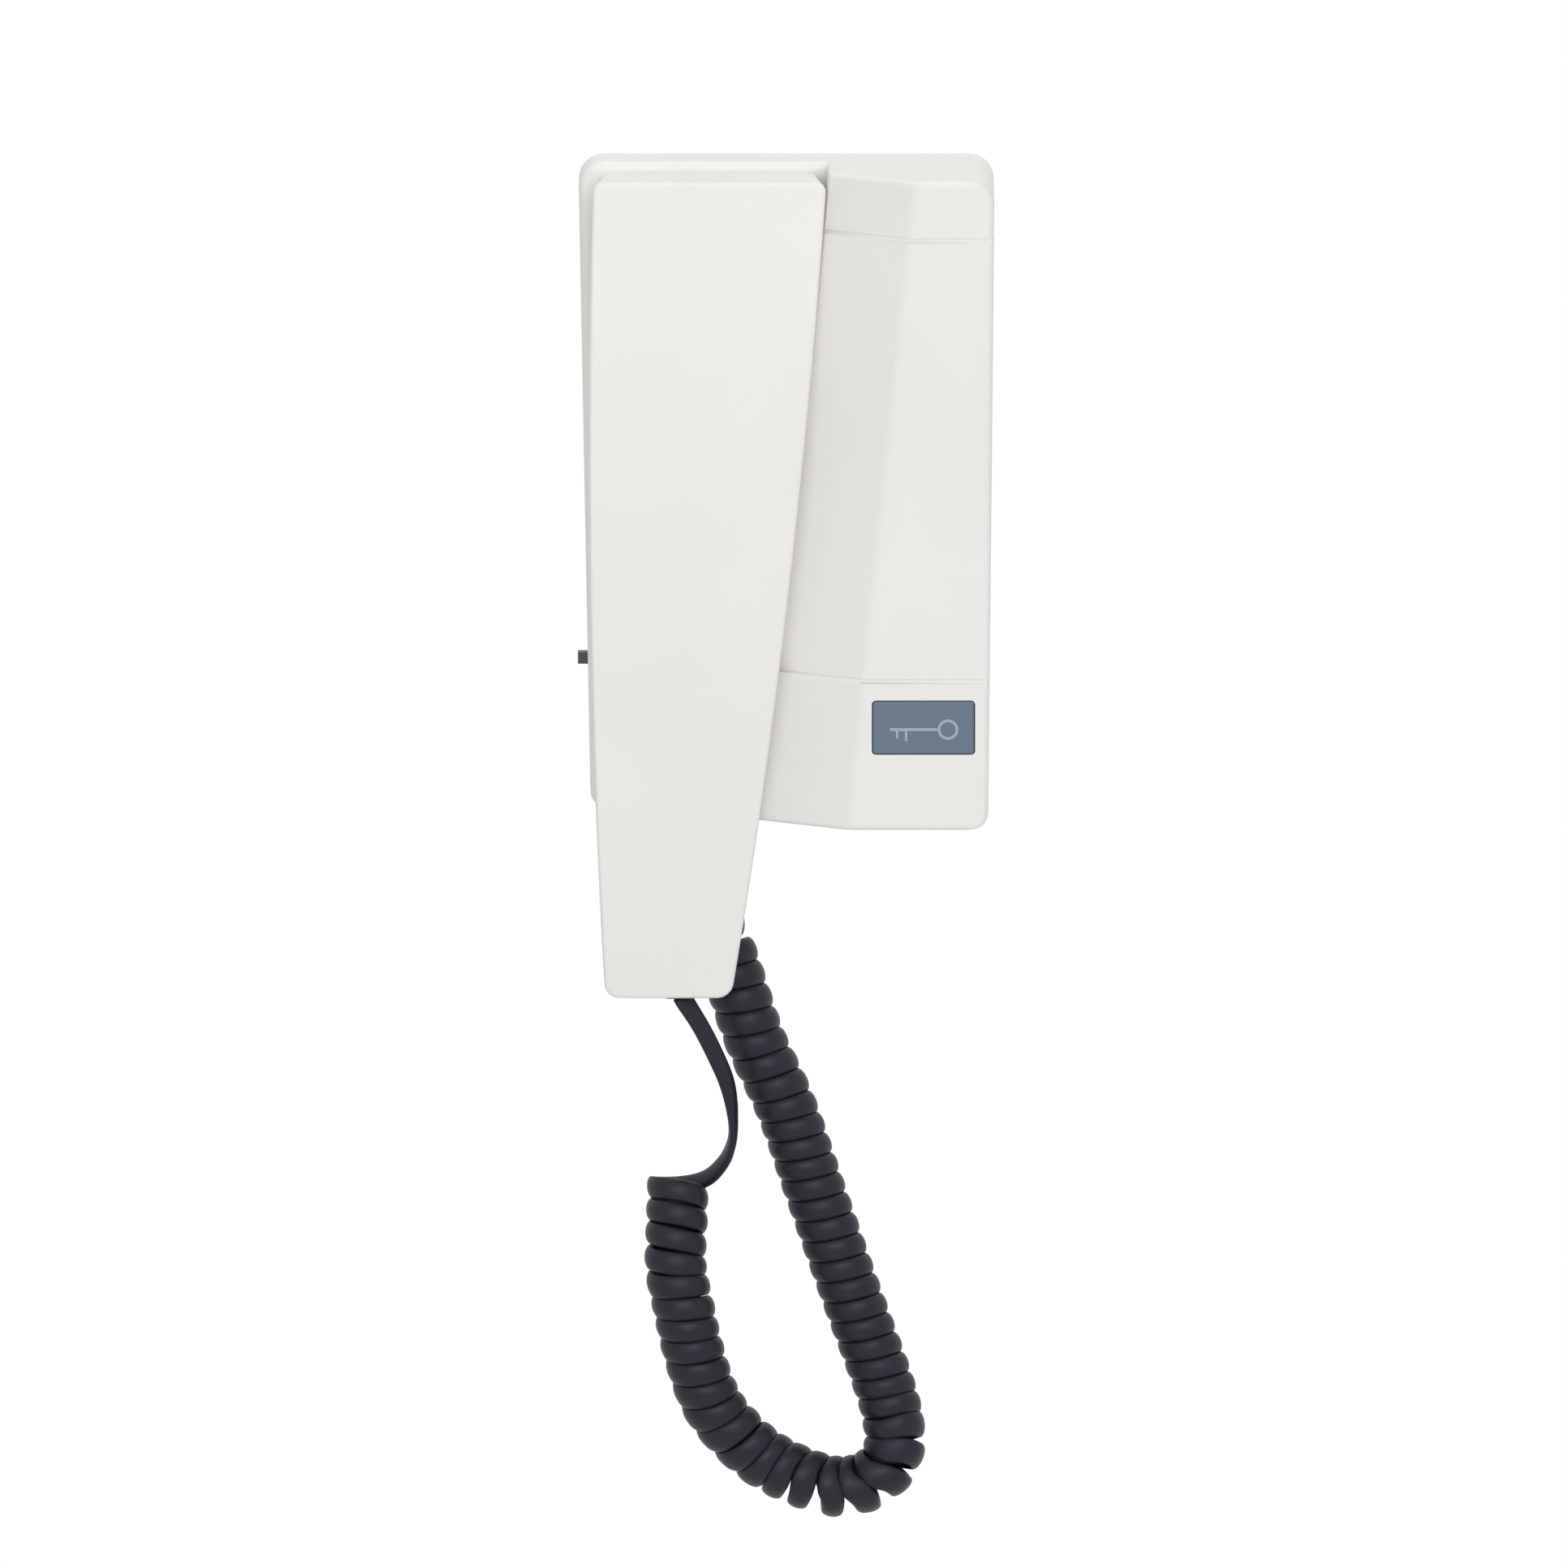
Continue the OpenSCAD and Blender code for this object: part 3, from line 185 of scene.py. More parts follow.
# %% [markdown]
# ## Winding the curls
# A curl is a circle drawn round the axis while the circle moves along it. Two directions
# square to the axis carry the circle: one sideways, one front to back. In the loop two small
# shifts along the axis are added: the outer side of a curl runs ahead of its inner side, and
# its back runs ahead of its front, which opens the gaps seen on the outside of the loop.

# %% Curls
FAN = 0.0024
FAN_TURNS = (12.4, 14.3, 17.9, 19.2)
LEAN_HOLD = 1.8
FIRST_ANGLE = radians(90)
axis_ways = directions(axis_line)
sideways = np.cross(axis_ways, (0, 1, 0))
sideways /= np.linalg.norm(sideways, axis=1)[:, None]
depthways = np.cross(sideways, axis_ways)
turn = FIRST_ANGLE + 2 * pi * turned
outward = np.cos(turn)[:, None] * sideways + np.sin(turn)[:, None] * depthways
lean = -ahead / 2 * np.tanh(LEAN_HOLD * np.cos(turn)) / np.tanh(LEAN_HOLD)
fan = np.interp(turned, FAN_TURNS, (0, FAN, FAN, 0)) * np.sin(turn)
curl_path = axis_line + CURL_R * outward + (lean + fan)[:, None] * axis_ways
print("curls:", CURLS, "wound length", round(lengths(curl_path)[-1], 3), "m")

# %% [markdown]
# ## How wide the cord is in the curls
# Wound hot on a rod, the cord is a little wider and thicker in its curls than in its free
# ends, and neighbouring curls touch. In the loop they crowd on the inner side and stand apart
# on the outer one. So the width is given for both sides, in millimetres by turn, and it is
# held to the room between a curl and its two neighbours.

# %% Widths of the curls
WIDTH_TURNS = (0, 1, 3, 4.4, 13.6, 14.5, 16.8, 17.8, 20)
INNER_W = (5.5, 5.7, 5.7, 6.7, 7.6, 7.6, 7, 7, 6.5)
OUTER_W = (5.5, 5.7, 5.7, 6.7, 6.7, 5.1, 5.4, 6.8, 6.5)
OUTSIDE_FALL = 1.3
NEARER_SHARE = 0.4
TOUCH = 0.0001
inner_w = np.interp(turned, WIDTH_TURNS, INNER_W)
outer_w = np.interp(turned, WIDTH_TURNS, OUTER_W)
outside = ((1 - np.cos(turn)) / 2) ** OUTSIDE_FALL
curl_w = (inner_w + (outer_w - inner_w) * outside) / 1000
apart = np.linalg.norm(curl_path[RINGS:] - curl_path[:-RINGS], axis=1)
before = np.concatenate([apart[:RINGS], apart])
after = np.concatenate([apart, apart[-RINGS:]])
room = NEARER_SHARE * np.minimum(before, after) + (1 - NEARER_SHARE) * np.maximum(before, after)
curl_half = np.minimum(curl_w, room + TOUCH) / 2
print("curl widths:", round(2 * curl_half.min(), 5), "to", round(2 * curl_half.max(), 5))

# %% [markdown]
# ## One cord from end to end
# The free stretch below the handset, the curls, the bend out of the last one and the stretch
# up to the base follow each other without a break. The free stretch runs on into the first
# curl in one curve, and a short bend leads from the last curl to the base.

# %% Whole cord path
FREE_RINGS = 51
FREE_STEPS = 12
BEND_RINGS = 12
BASE_RINGS = 16
lead_points = np.vstack([lead_route, curl_path[[0, 5]]])
lead_curve = smooth_route(lead_points, FREE_STEPS)[:-FREE_STEPS]
lead_line = even_steps(lead_curve, FREE_RINGS + 1)[:-1]
base_line = even_steps(smooth_route(base_route, FREE_STEPS), BASE_RINGS)
base_end = BASE_STOP - CORD_W * BASE_WAY
last_way = unit(curl_path[-1] - curl_path[-2])
reach = np.linalg.norm(base_end - curl_path[-1]) / 3
out_of_curls = bend(curl_path[-1], last_way, base_end, BASE_WAY, reach, BEND_RINGS)

cord_path = np.vstack([lead_line, curl_path, out_of_curls[1:], base_line])

# %% [markdown]
# ## How the flat cord lies
# Every ring needs the direction of the cord's wide side. The free stretch leaves the handset
# nearly face on, turns edge on half way down, and shows its other face as it goes behind the
# first curl; the angles come from how wide it looks at each height, and from which of its
# faces catches the light. In the curls the cord lies flat, so its wide side is the axis. It
# stands edge on behind the handset and turns flat again into the base.

# %% Wide side, width and thickness
def turning(a, b, count):
    u = np.linspace(0, 1, count)[:, None]
    u = u * u * (3 - 2 * u)
    return (1 - u) * np.asarray(a, float) + u * np.asarray(b, float)


def twisted(ways, edge, angles):
    level = np.cross(ways, edge)
    level /= np.linalg.norm(level, axis=1)[:, None]
    angles = np.radians(angles)[:, None]
    return np.cos(angles) * edge + np.sin(angles) * level


DEPTH = np.array((0.0, 1, 0))
ACROSS = (1, 0, 0)
EDGE_ON = (0, -1, 0)
TWIST_MM = np.array((127.7, 129.3, 131.5, 143, 146.6, 150, 153.4, 156.8, 160.2, 163.7, 167, 173.5, 177.5))
TWIST = (60, 48, 46, 46, 44, 41, 35, 23, 14, 0, -10, -27, -36)
EASE = 9
angles = np.pad(np.interp(-lead_line[:, 2], TWIST_MM / 1000, TWIST), EASE // 2, mode="edge")
angles = np.convolve(angles, np.full(EASE, 1 / EASE), "valid")
free_wide = twisted(directions(lead_line), DEPTH, angles)

LAID_TURNS, LAID_ANGLES = (0, 0.3), (-50, -90)
laid = np.radians(np.interp(turned, LAID_TURNS, LAID_ANGLES))[:, None]
curl_wide = np.cos(laid) * outward + np.sin(laid) * axis_ways

TWIST_RINGS = 10
END_RINGS = BEND_RINGS - 1 + BASE_RINGS
cord_wide = np.vstack([free_wide, curl_wide, turning(curl_wide[-1], EDGE_ON, BEND_RINGS)[1:],
                       turning(EDGE_ON, ACROSS, TWIST_RINGS),
                       np.tile(ACROSS, (BASE_RINGS - TWIST_RINGS, 1))])
cord_half = np.concatenate([np.full(FREE_RINGS, CORD_W / 2), curl_half, np.full(END_RINGS, CORD_W / 2)])

BULGE_TURNS = (0, 0.5, CURLS - 0.5, CURLS)
bulge = np.interp(turned, BULGE_TURNS, (CORD_THICK, CURL_THICK, CURL_THICK, CORD_THICK))
cord_deep = np.concatenate([np.full(FREE_RINGS, CORD_THICK), bulge, np.full(END_RINGS, CORD_THICK)]) / 2
steadiest = (cord_wide[1:] * cord_wide[:-1]).sum(axis=1).min()
print("wide sides:", len(cord_wide), "least match of neighbours", round(steadiest, 3))

# %% [markdown]
# ## Skinning the cord
# Each ring of the skin is the cord's section, a long oval: wide, thin and round all over.
# The rings are joined by strips of four-sided faces, and the two ends are closed. The map
# laid on the skin runs along the cord and round it in metres, so that the finish can follow
# the cord through every curl.

# %% Cord mesh
SECTION = 18
MAP_STEP = 0.0007


def cord_section():
    a = np.linspace(0, 2 * pi, SECTION, endpoint=False) + pi / SECTION
    return np.cos(a), np.sin(a)


def skin_cord(name, path, wide, half, deep):
    ways = directions(path)
    flat = np.cross(ways, wide)
    flat /= np.linalg.norm(flat, axis=1)[:, None]
    wide = np.cross(flat, ways)
    across, through = cord_section()
    skin = (path[:, None, :] + half[:, None, None] * across[None, :, None] * wide[:, None, :]
            + deep[:, None, None] * through[None, :, None] * flat[:, None, :])
    n = len(path)
    faces = [(i * SECTION + j, i * SECTION + (j + 1) % SECTION,
              (i + 1) * SECTION + (j + 1) % SECTION, (i + 1) * SECTION + j)
             for i in range(n - 1) for j in range(SECTION)]
    faces += [tuple(range(SECTION))[::-1], tuple((n - 1) * SECTION + j for j in range(SECTION))]
    mesh = bpy.data.meshes.new(name)
    mesh.from_pydata(skin.reshape(-1, 3).tolist(), [], faces)
    far = lengths(path)
    uv = mesh.uv_layers.new(name="along_cord")
    for face in mesh.polygons:
        wrapped = face.loop_total == 4 and face.index % SECTION == SECTION - 1
        for loop in face.loop_indices:
            i, j = divmod(mesh.loops[loop].vertex_index, SECTION)
            uv.data[loop].uv = (far[i], (j + SECTION * (wrapped and j == 0)) * MAP_STEP)
    obj = bpy.data.objects.new(name, mesh)
    bpy.context.scene.collection.objects.link(obj)
    return obj


print("section of the cord:", SECTION, "points")

# %% [markdown]
# ## Making the cord
# The rings are skinned once, every face is turned outwards, and the shading is smoothed so
# that the strips between the rings don't show.

# %% Cord piece
def select_only(obj):
    if bpy.context.object and bpy.context.object.mode != "OBJECT":
        bpy.ops.object.mode_set(mode="OBJECT")
    bpy.ops.object.select_all(action="DESELECT")
    obj.select_set(True)
    bpy.context.view_layer.objects.active = obj


cord = skin_cord("cord", cord_path, cord_wide, cord_half, cord_deep)
select_only(cord)
bpy.ops.object.mode_set(mode="EDIT")
bpy.ops.mesh.select_all(action="SELECT")
bpy.ops.mesh.normals_make_consistent(inside=False)
bpy.ops.object.mode_set(mode="OBJECT")
bpy.ops.object.shade_smooth()
print("cord skin:", len(cord.data.polygons), "faces")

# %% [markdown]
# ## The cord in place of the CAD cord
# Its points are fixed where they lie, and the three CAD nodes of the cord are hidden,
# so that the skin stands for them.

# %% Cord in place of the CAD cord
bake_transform(cord)
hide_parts("handset_lead", "curly_cord", "base_lead")

# %% [markdown]
# ## Small helpers for node trees
# A finish is a tree of nodes. These helpers add a node, open a group with named sockets, lay
# a noise, stretch a value from one range to another and mix two colours, so that the trees
# below stay short.

# %% Node helpers
def add_node(tree, kind, **settings):
    node = tree.nodes.new(kind)
    for key, value in settings.items():
        setattr(node, key, value)
    return node


def new_group(name, inputs, outputs):
    group = bpy.data.node_groups.new(name, "ShaderNodeTree")
    for label, kind, value in inputs:
        socket = group.interface.new_socket(label, in_out="INPUT", socket_type=kind)
        socket.default_value = value
    for label, kind in outputs:
        group.interface.new_socket(label, in_out="OUTPUT", socket_type=kind)
    return group, add_node(group, "NodeGroupInput"), add_node(group, "NodeGroupOutput")


def noise(tree, coords, scale, detail):
    node = add_node(tree, "ShaderNodeTexNoise")
    node.inputs["Detail"].default_value = detail
    if isinstance(scale, (int, float)):
        node.inputs["Scale"].default_value = scale
    else:
        tree.links.new(scale, node.inputs["Scale"])
    tree.links.new(coords, node.inputs["Vector"])
    return node.outputs["Fac"]


def remap(tree, value, low, high, new_low, new_high):
    node = add_node(tree, "ShaderNodeMapRange")
    ends = {"From Min": low, "From Max": high, "To Min": new_low, "To Max": new_high}
    for socket, given in ends.items():
        if isinstance(given, (int, float)):
            node.inputs[socket].default_value = given
        else:
            tree.links.new(given, node.inputs[socket])
    tree.links.new(value, node.inputs["Value"])
    return node.outputs["Result"]


def mix_colour(tree, factor, a, b):
    node = add_node(tree, "ShaderNodeMix", data_type="RGBA", blend_type="MIX")
    sockets = [node.inputs[0], node.inputs[6], node.inputs[7]]
    for socket, given in zip(sockets, (factor, a, b)):
        if isinstance(given, (int, float, tuple)):
            socket.default_value = given
        else:
            tree.links.new(given, socket)
    return node.outputs[2]


print("node helpers:", [helper.__name__ for helper in (add_node, new_group, noise, remap, mix_colour)])

# %% [markdown]
# ## Moulded skin, a finish shared by all the plastics
# Moulded plastic is never quite one tone: the mould's etched surface gives it a fine grain,
# and its gloss drifts a little from place to place. The same three effects serve the shells,
# the button and the small parts, so they are one node group with a few inputs. It reads
# Object coordinates, which stay put when the piece moves.

# %% Moulded skin group
CLOUD_SCALE, DRIFT_SCALE = 26.0, 140.0
GRAIN_DEPTH = 0.00006
moulded_skin, skin_in, skin_out = new_group(
    "moulded_skin",
    [("Colour", "NodeSocketColor", (0.8, 0.8, 0.8, 1)),
     ("Deep Colour", "NodeSocketColor", (0.7, 0.7, 0.7, 1)),
     ("Rough Low", "NodeSocketFloat", 0.38), ("Rough High", "NodeSocketFloat", 0.48),
     ("Grain Scale", "NodeSocketFloat", 2600.0), ("Grain Strength", "NodeSocketFloat", 0.12)],
    [("Colour", "NodeSocketColor"), ("Roughness", "NodeSocketFloat"), ("Normal", "NodeSocketVector")])
place = add_node(moulded_skin, "ShaderNodeTexCoord").outputs["Object"]
cloud = noise(moulded_skin, place, CLOUD_SCALE, 3.0)
drift = noise(moulded_skin, place, DRIFT_SCALE, 4.0)
grain = noise(moulded_skin, place, skin_in.outputs["Grain Scale"], 2.0)
skin_tone = mix_colour(moulded_skin, remap(moulded_skin, cloud, 0.35, 0.7, 0.0, 1.0),
                       skin_in.outputs["Colour"], skin_in.outputs["Deep Colour"])
skin_gloss = remap(moulded_skin, drift, 0.3, 0.7,
                   skin_in.outputs["Rough Low"], skin_in.outputs["Rough High"])
skin_bump = add_node(moulded_skin, "ShaderNodeBump")
skin_bump.inputs["Distance"].default_value = GRAIN_DEPTH
moulded_skin.links.new(skin_in.outputs["Grain Strength"], skin_bump.inputs["Strength"])
moulded_skin.links.new(grain, skin_bump.inputs["Height"])
moulded_skin.links.new(skin_tone, skin_out.inputs["Colour"])
moulded_skin.links.new(skin_gloss, skin_out.inputs["Roughness"])
moulded_skin.links.new(skin_bump.outputs["Normal"], skin_out.inputs["Normal"])
print("group:", moulded_skin.name, "with", len(moulded_skin.nodes), "nodes")

# %% [markdown]
# ## The plastics
# The shells are off-white, a touch warm, with a satin etched face. The button is slate blue.
# The knob, most of the switches and all the rubber pieces are near black, the hook lever is
# pale and the terminal block green. Each takes the shared skin with its own two close tones,
# gloss and grain, and only the shader stays outside.

# %% Plastic finishes
def new_material(name):
    material = bpy.data.materials.new(name)
    material.use_nodes = True
    return material, material.node_tree, material.node_tree.nodes["Principled BSDF"]


def plastic(name, colour, deep, rough, grain_scale, grain_strength):
    material, tree, shader = new_material(name)
    skin = add_node(tree, "ShaderNodeGroup", node_tree=moulded_skin)
    skin.inputs["Colour"].default_value = (*colour, 1)
    skin.inputs["Deep Colour"].default_value = (*deep, 1)
    skin.inputs["Rough Low"].default_value, skin.inputs["Rough High"].default_value = rough
    skin.inputs["Grain Scale"].default_value = grain_scale
    skin.inputs["Grain Strength"].default_value = grain_strength
    for here, there in (("Colour", "Base Color"), ("Roughness", "Roughness"), ("Normal", "Normal")):
        tree.links.new(skin.outputs[here], shader.inputs[there])
    return material


shell_white = plastic("shell_white", (0.85, 0.84, 0.81), (0.825, 0.815, 0.785),
                      (0.40, 0.50), 2600, 0.14)
button_slate = plastic("button_slate", (0.12, 0.169, 0.234), (0.11, 0.156, 0.22),
                       (0.42, 0.52), 3000, 0.12)
switch_black = plastic("switch_black", (0.045, 0.05, 0.055), (0.035, 0.04, 0.045),
                       (0.36, 0.5), 2800, 0.15)
knob_grey = plastic("knob_grey", (0.06, 0.06, 0.061), (0.05, 0.05, 0.051),
                    (0.38, 0.5), 2800, 0.15)
bush_rubber = plastic("bush_rubber", (0.033, 0.033, 0.036), (0.026, 0.026, 0.029),
                      (0.55, 0.7), 1800, 0.2)
inner_pale = plastic("inner_pale", (0.62, 0.61, 0.56), (0.56, 0.55, 0.50),
                     (0.45, 0.6), 1500, 0.1)
terminal_green = plastic("terminal_green", (0.05, 0.24, 0.11), (0.04, 0.2, 0.09),
                         (0.35, 0.5), 2000, 0.1)
plastics = (shell_white, button_slate, switch_black, knob_grey, bush_rubber, inner_pale, terminal_green)
print("plastics:", [finish.name for finish in plastics])

# %% [markdown]
# ## The cord's rubber
# The cord's jacket is drawn through a die, which leaves very fine lines along its length,
# and handling leaves it half matt. The lines follow the cord's own map, not the room, so
# they run round every curl.

# %% Cord finish
LINE_STRETCH = (60, 2600, 1)
CORD_DARK = (0.0105, 0.011, 0.0175, 1)
CORD_PALE = (0.0135, 0.014, 0.0215, 1)
cord_rubber, tree, shader = new_material("cord_rubber")
cord_map = add_node(tree, "ShaderNodeUVMap", uv_map="along_cord").outputs["UV"]
stretch = add_node(tree, "ShaderNodeMapping")
stretch.inputs["Scale"].default_value = LINE_STRETCH
tree.links.new(cord_map, stretch.inputs["Vector"])
draw_lines = noise(tree, stretch.outputs["Vector"], 1.0, 2.0)
handling = noise(tree, add_node(tree, "ShaderNodeTexCoord").outputs["Object"], 180.0, 3.0)
handled = remap(tree, handling, 0.3, 0.7, 0.0, 1.0)
tree.links.new(mix_colour(tree, handled, CORD_DARK, CORD_PALE), shader.inputs["Base Color"])
tree.links.new(remap(tree, handling, 0.3, 0.7, 0.38, 0.48), shader.inputs["Roughness"])
shader.inputs["Specular IOR Level"].default_value = 0.28
shader.inputs["Specular Tint"].default_value = (0.88, 0.93, 1, 1)
lines_bump = add_node(tree, "ShaderNodeBump")
lines_bump.inputs["Strength"].default_value = 0.15
lines_bump.inputs["Distance"].default_value = 0.00005
tree.links.new(draw_lines, lines_bump.inputs["Height"])
tree.links.new(lines_bump.outputs["Normal"], shader.inputs["Normal"])
cord.data.materials.append(cord_rubber)
print("cord finish:", cord_rubber.name)

# %% [markdown]
# ## Metal
# Screws, pin and spring are zinc-plated steel: bright, with a cloudy gloss. The capsules are
# duller pressed metal. Both take one helper, with their own tone, gloss and size of cloud.

# %% Metal finishes
DULLED = 0.86
SCRATCH_SCALE = 3200.0


def metal(name, colour, rough, scale):
    material, tree, shader = new_material(name)
    place = add_node(tree, "ShaderNodeTexCoord").outputs["Object"]
    haze = noise(tree, place, scale, 4.0)
    shader.inputs["Metallic"].default_value = 1.0
    dull = [DULLED * channel for channel in colour]
    tree.links.new(mix_colour(tree, haze, (*colour, 1), (*dull, 1)), shader.inputs["Base Color"])
    tree.links.new(remap(tree, haze, 0.3, 0.7, *rough), shader.inputs["Roughness"])
    scratch = add_node(tree, "ShaderNodeBump")
    scratch.inputs["Strength"].default_value = 0.08
    scratch.inputs["Distance"].default_value = 0.00004
    tree.links.new(noise(tree, place, SCRATCH_SCALE, 2.0), scratch.inputs["Height"])
    tree.links.new(scratch.outputs["Normal"], shader.inputs["Normal"])
    return material


zinc_steel = metal("zinc_steel", (0.62, 0.63, 0.65), (0.24, 0.38), 600.0)
capsule_tin = metal("capsule_tin", (0.5, 0.5, 0.5), (0.34, 0.48), 300.0)
print("metals:", zinc_steel.name, capsule_tin.name)

# %% [markdown]
# ## The board
# The board is a hard laminate under a green lacquer, through which the paler copper tracks
# show. Bands of a distorted wave, cut off sharply, stand for the tracks.

# %% Board finish
LACQUER, OVER_COPPER = (0.03, 0.13, 0.06, 1), (0.08, 0.26, 0.12, 1)
board_lacquer, tree, shader = new_material("board_lacquer")
place = add_node(tree, "ShaderNodeTexCoord").outputs["Object"]
tracks = add_node(tree, "ShaderNodeTexWave", bands_direction="DIAGONAL")
tracks.inputs["Scale"].default_value = 90.0
tracks.inputs["Distortion"].default_value = 9.0
tracks.inputs["Detail"].default_value = 0.0
tree.links.new(place, tracks.inputs["Vector"])
track_mask = remap(tree, tracks.outputs["Fac"], 0.55, 0.62, 0.0, 1.0)
tree.links.new(mix_colour(tree, track_mask, LACQUER, OVER_COPPER), shader.inputs["Base Color"])
board_gloss = noise(tree, place, 400.0, 3.0)
tree.links.new(remap(tree, board_gloss, 0.3, 0.7, 0.28, 0.4), shader.inputs["Roughness"])
track_bump = add_node(tree, "ShaderNodeBump")
track_bump.inputs["Strength"].default_value = 0.3
track_bump.inputs["Distance"].default_value = 0.00004
tree.links.new(track_mask, track_bump.inputs["Height"])
tree.links.new(track_bump.outputs["Normal"], shader.inputs["Normal"])
print("board:", board_lacquer.name)

# %% [markdown]
# ## Shells with soft edges
# A moulded shell has no knife edges: every corner keeps the small round of the cutter that
# made the mould. The CAD shells are exact but faceted, so each visible one is copied, its
# triangles are merged into clean faces, its sharp edges get a small bevel, and the shading
# is smoothed with the big faces weighing most, so that flats stay flat. The copy then stands
# for the CAD node, on the same body. Where a piece has grooves, their lower lips are drawn
# down a little, so that the grooves look as soft as in the picture.

# %% Soft-edged copies of the CAD shells
LIP_DROP = 0.00045
WELD = 0.000002
BELOW = 0.0001
NEAR = 0.00002


def ease_lips(piece, lips):
    spots = piece.data.vertices
    lower = {v for face in piece.data.polygons for v in face.vertices
             if face.center.z < spots[v].co.z - BELOW and any(abs(spots[v].co.z - z) < NEAR for z in lips)}
    for v in lower:
        spots[v].co.z -= LIP_DROP
    print(piece.name, "lip points eased:", len(lower))


FLAT, SHARP = radians(1), radians(40)


def soft_copy(node, body, finish, edge, lips=()):
    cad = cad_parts[node]
    piece = bpy.data.objects.new(node + "_skin", cad.data.copy())
    bpy.context.scene.collection.objects.link(piece)
    select_only(piece)
    bpy.ops.object.mode_set(mode="EDIT")
    bpy.ops.mesh.select_all(action="SELECT")
    bpy.ops.mesh.customdata_custom_splitnormals_clear()
    bpy.ops.mesh.remove_doubles(threshold=WELD)
    bpy.ops.mesh.dissolve_limited(angle_limit=FLAT)
    bpy.ops.object.mode_set(mode="OBJECT")
    ease_lips(piece, lips)
    round_edge = piece.modifiers.new("moulded edge", "BEVEL")
    round_edge.width = edge
    round_edge.segments = 3
    round_edge.limit_method = "ANGLE"
    round_edge.angle_limit = SHARP
    bpy.ops.object.modifier_apply(modifier=round_edge.name)
    bpy.ops.object.shade_smooth_by_angle(angle=SHARP)
    weigh = piece.modifiers.new("flats stay flat", "WEIGHTED_NORMAL")
    weigh.keep_sharp = True
    bpy.ops.object.modifier_apply(modifier=weigh.name)
    piece.data.materials.clear()
    piece.data.materials.append(finish)
    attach(piece, body)
    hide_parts(node)
    return piece


print("edges sharper than", round(SHARP, 3), "are rounded")

# %% [markdown]
# ## The six pieces that show most
# The cover, the two halves of the handset and the wall plate are moulded in the same white.
# The button and the knob have tones of their own. The cover has two grooves across it, one
# below its top and one above the button, placed by their distance from its ends.

# %% Shells, button and knob
GROOVE_HALF = 0.0004
UPPER_GROOVE, LOWER_GROOVE = 0.0148, 0.0382
SHELL_EDGE, PLATE_EDGE, BUTTON_EDGE, KNOB_EDGE = 0.00025, 0.0002, 0.0003, 0.0002
cover_low, cover_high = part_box("front_cover")
groove_lips = (cover_high[2] - UPPER_GROOVE - GROOVE_HALF, cover_low[2] + LOWER_GROOVE - GROOVE_HALF)
skins = [
    soft_copy("front_cover", "base", shell_white, SHELL_EDGE, lips=groove_lips),
    soft_copy("handset_front", "handset", shell_white, SHELL_EDGE),
    soft_copy("handset_back", "handset", shell_white, SHELL_EDGE),
    soft_copy("wall_plate", "base", shell_white, PLATE_EDGE),
    soft_copy("door_button", "door_button", button_slate, BUTTON_EDGE),
    soft_copy("volume_knob", "volume_knob", knob_grey, KNOB_EDGE)]
for piece in skins:
    print(piece.name, len(piece.data.polygons), "faces")

# %% [markdown]
# ## Finishes of the other CAD pieces
# The pieces inside keep their CAD shapes. Each takes a finish by what it is made of, and the
# CAD nodes that a copy or the cord stands for take the same finish as that piece.

# %% Finishes by piece
finish_of = {
    "cover_screws": zinc_steel, "board_screws": zinc_steel, "terminal_screws": zinc_steel,
    "hook_pin": zinc_steel, "hook_spring": zinc_steel, "handset_screws": zinc_steel,
    "main_board": board_lacquer,
    "board_parts": switch_black, "terminal_block": terminal_green, "ringer": switch_black,
    "hook_switch": switch_black, "hook_lever": inner_pale, "door_switch": switch_black,
    "door_switch_stem": inner_pale, "volume_switch": inner_pale, "base_cord_bush": bush_rubber,
    "handset_cord_bush": bush_rubber, "receiver": capsule_tin, "receiver_gasket": bush_rubber,
    "microphone": capsule_tin, "microphone_boot": bush_rubber, "handset_lead": cord_rubber,
    "curly_cord": cord_rubber, "base_lead": cord_rubber, "front_cover": shell_white,
    "handset_front": shell_white, "handset_back": shell_white, "wall_plate": shell_white,
    "door_button": button_slate, "volume_knob": knob_grey}
for node, finish in finish_of.items():
    for material_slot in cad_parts[node].material_slots:
        material_slot.link = "OBJECT"
        material_slot.material = finish
print("finished nodes:", len(finish_of), "of", len(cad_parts))

# %% [markdown]
# ## The key sign on the button
# The button opens the door, and a plain line drawing of a key is printed on it in pale
# grey-blue. A texture could carry it, but a print this sharp is easier to keep crisp as a
# film of its own: a flat ring for the bow, and a strip with two short teeth for the shaft.

# %% Key sign
FACE_Y = -0.040
KEY_Z = -0.05665
BOW_X, BOW_R, LINE = 0.04042, 0.0026, 0.0007

bpy.ops.object.select_all(action="DESELECT")
bpy.ops.mesh.primitive_circle_add(vertices=72, radius=BOW_R, fill_type="NOTHING",
                                  location=(BOW_X, FACE_Y, KEY_Z), rotation=(radians(90), 0, 0))
key_sign = bpy.context.object
key_sign.name = "key_sign"
bpy.ops.object.mode_set(mode="EDIT")
bpy.ops.mesh.select_all(action="SELECT")
bpy.ops.mesh.extrude_region_move()
bpy.ops.transform.resize(value=((BOW_R - LINE) / BOW_R,) * 3, center_override=(BOW_X, FACE_Y, KEY_Z))
bpy.ops.object.mode_set(mode="OBJECT")
bpy.ops.object.transform_apply(location=True, rotation=True, scale=True)
print("bow of the key:", len(key_sign.data.polygons), "faces")

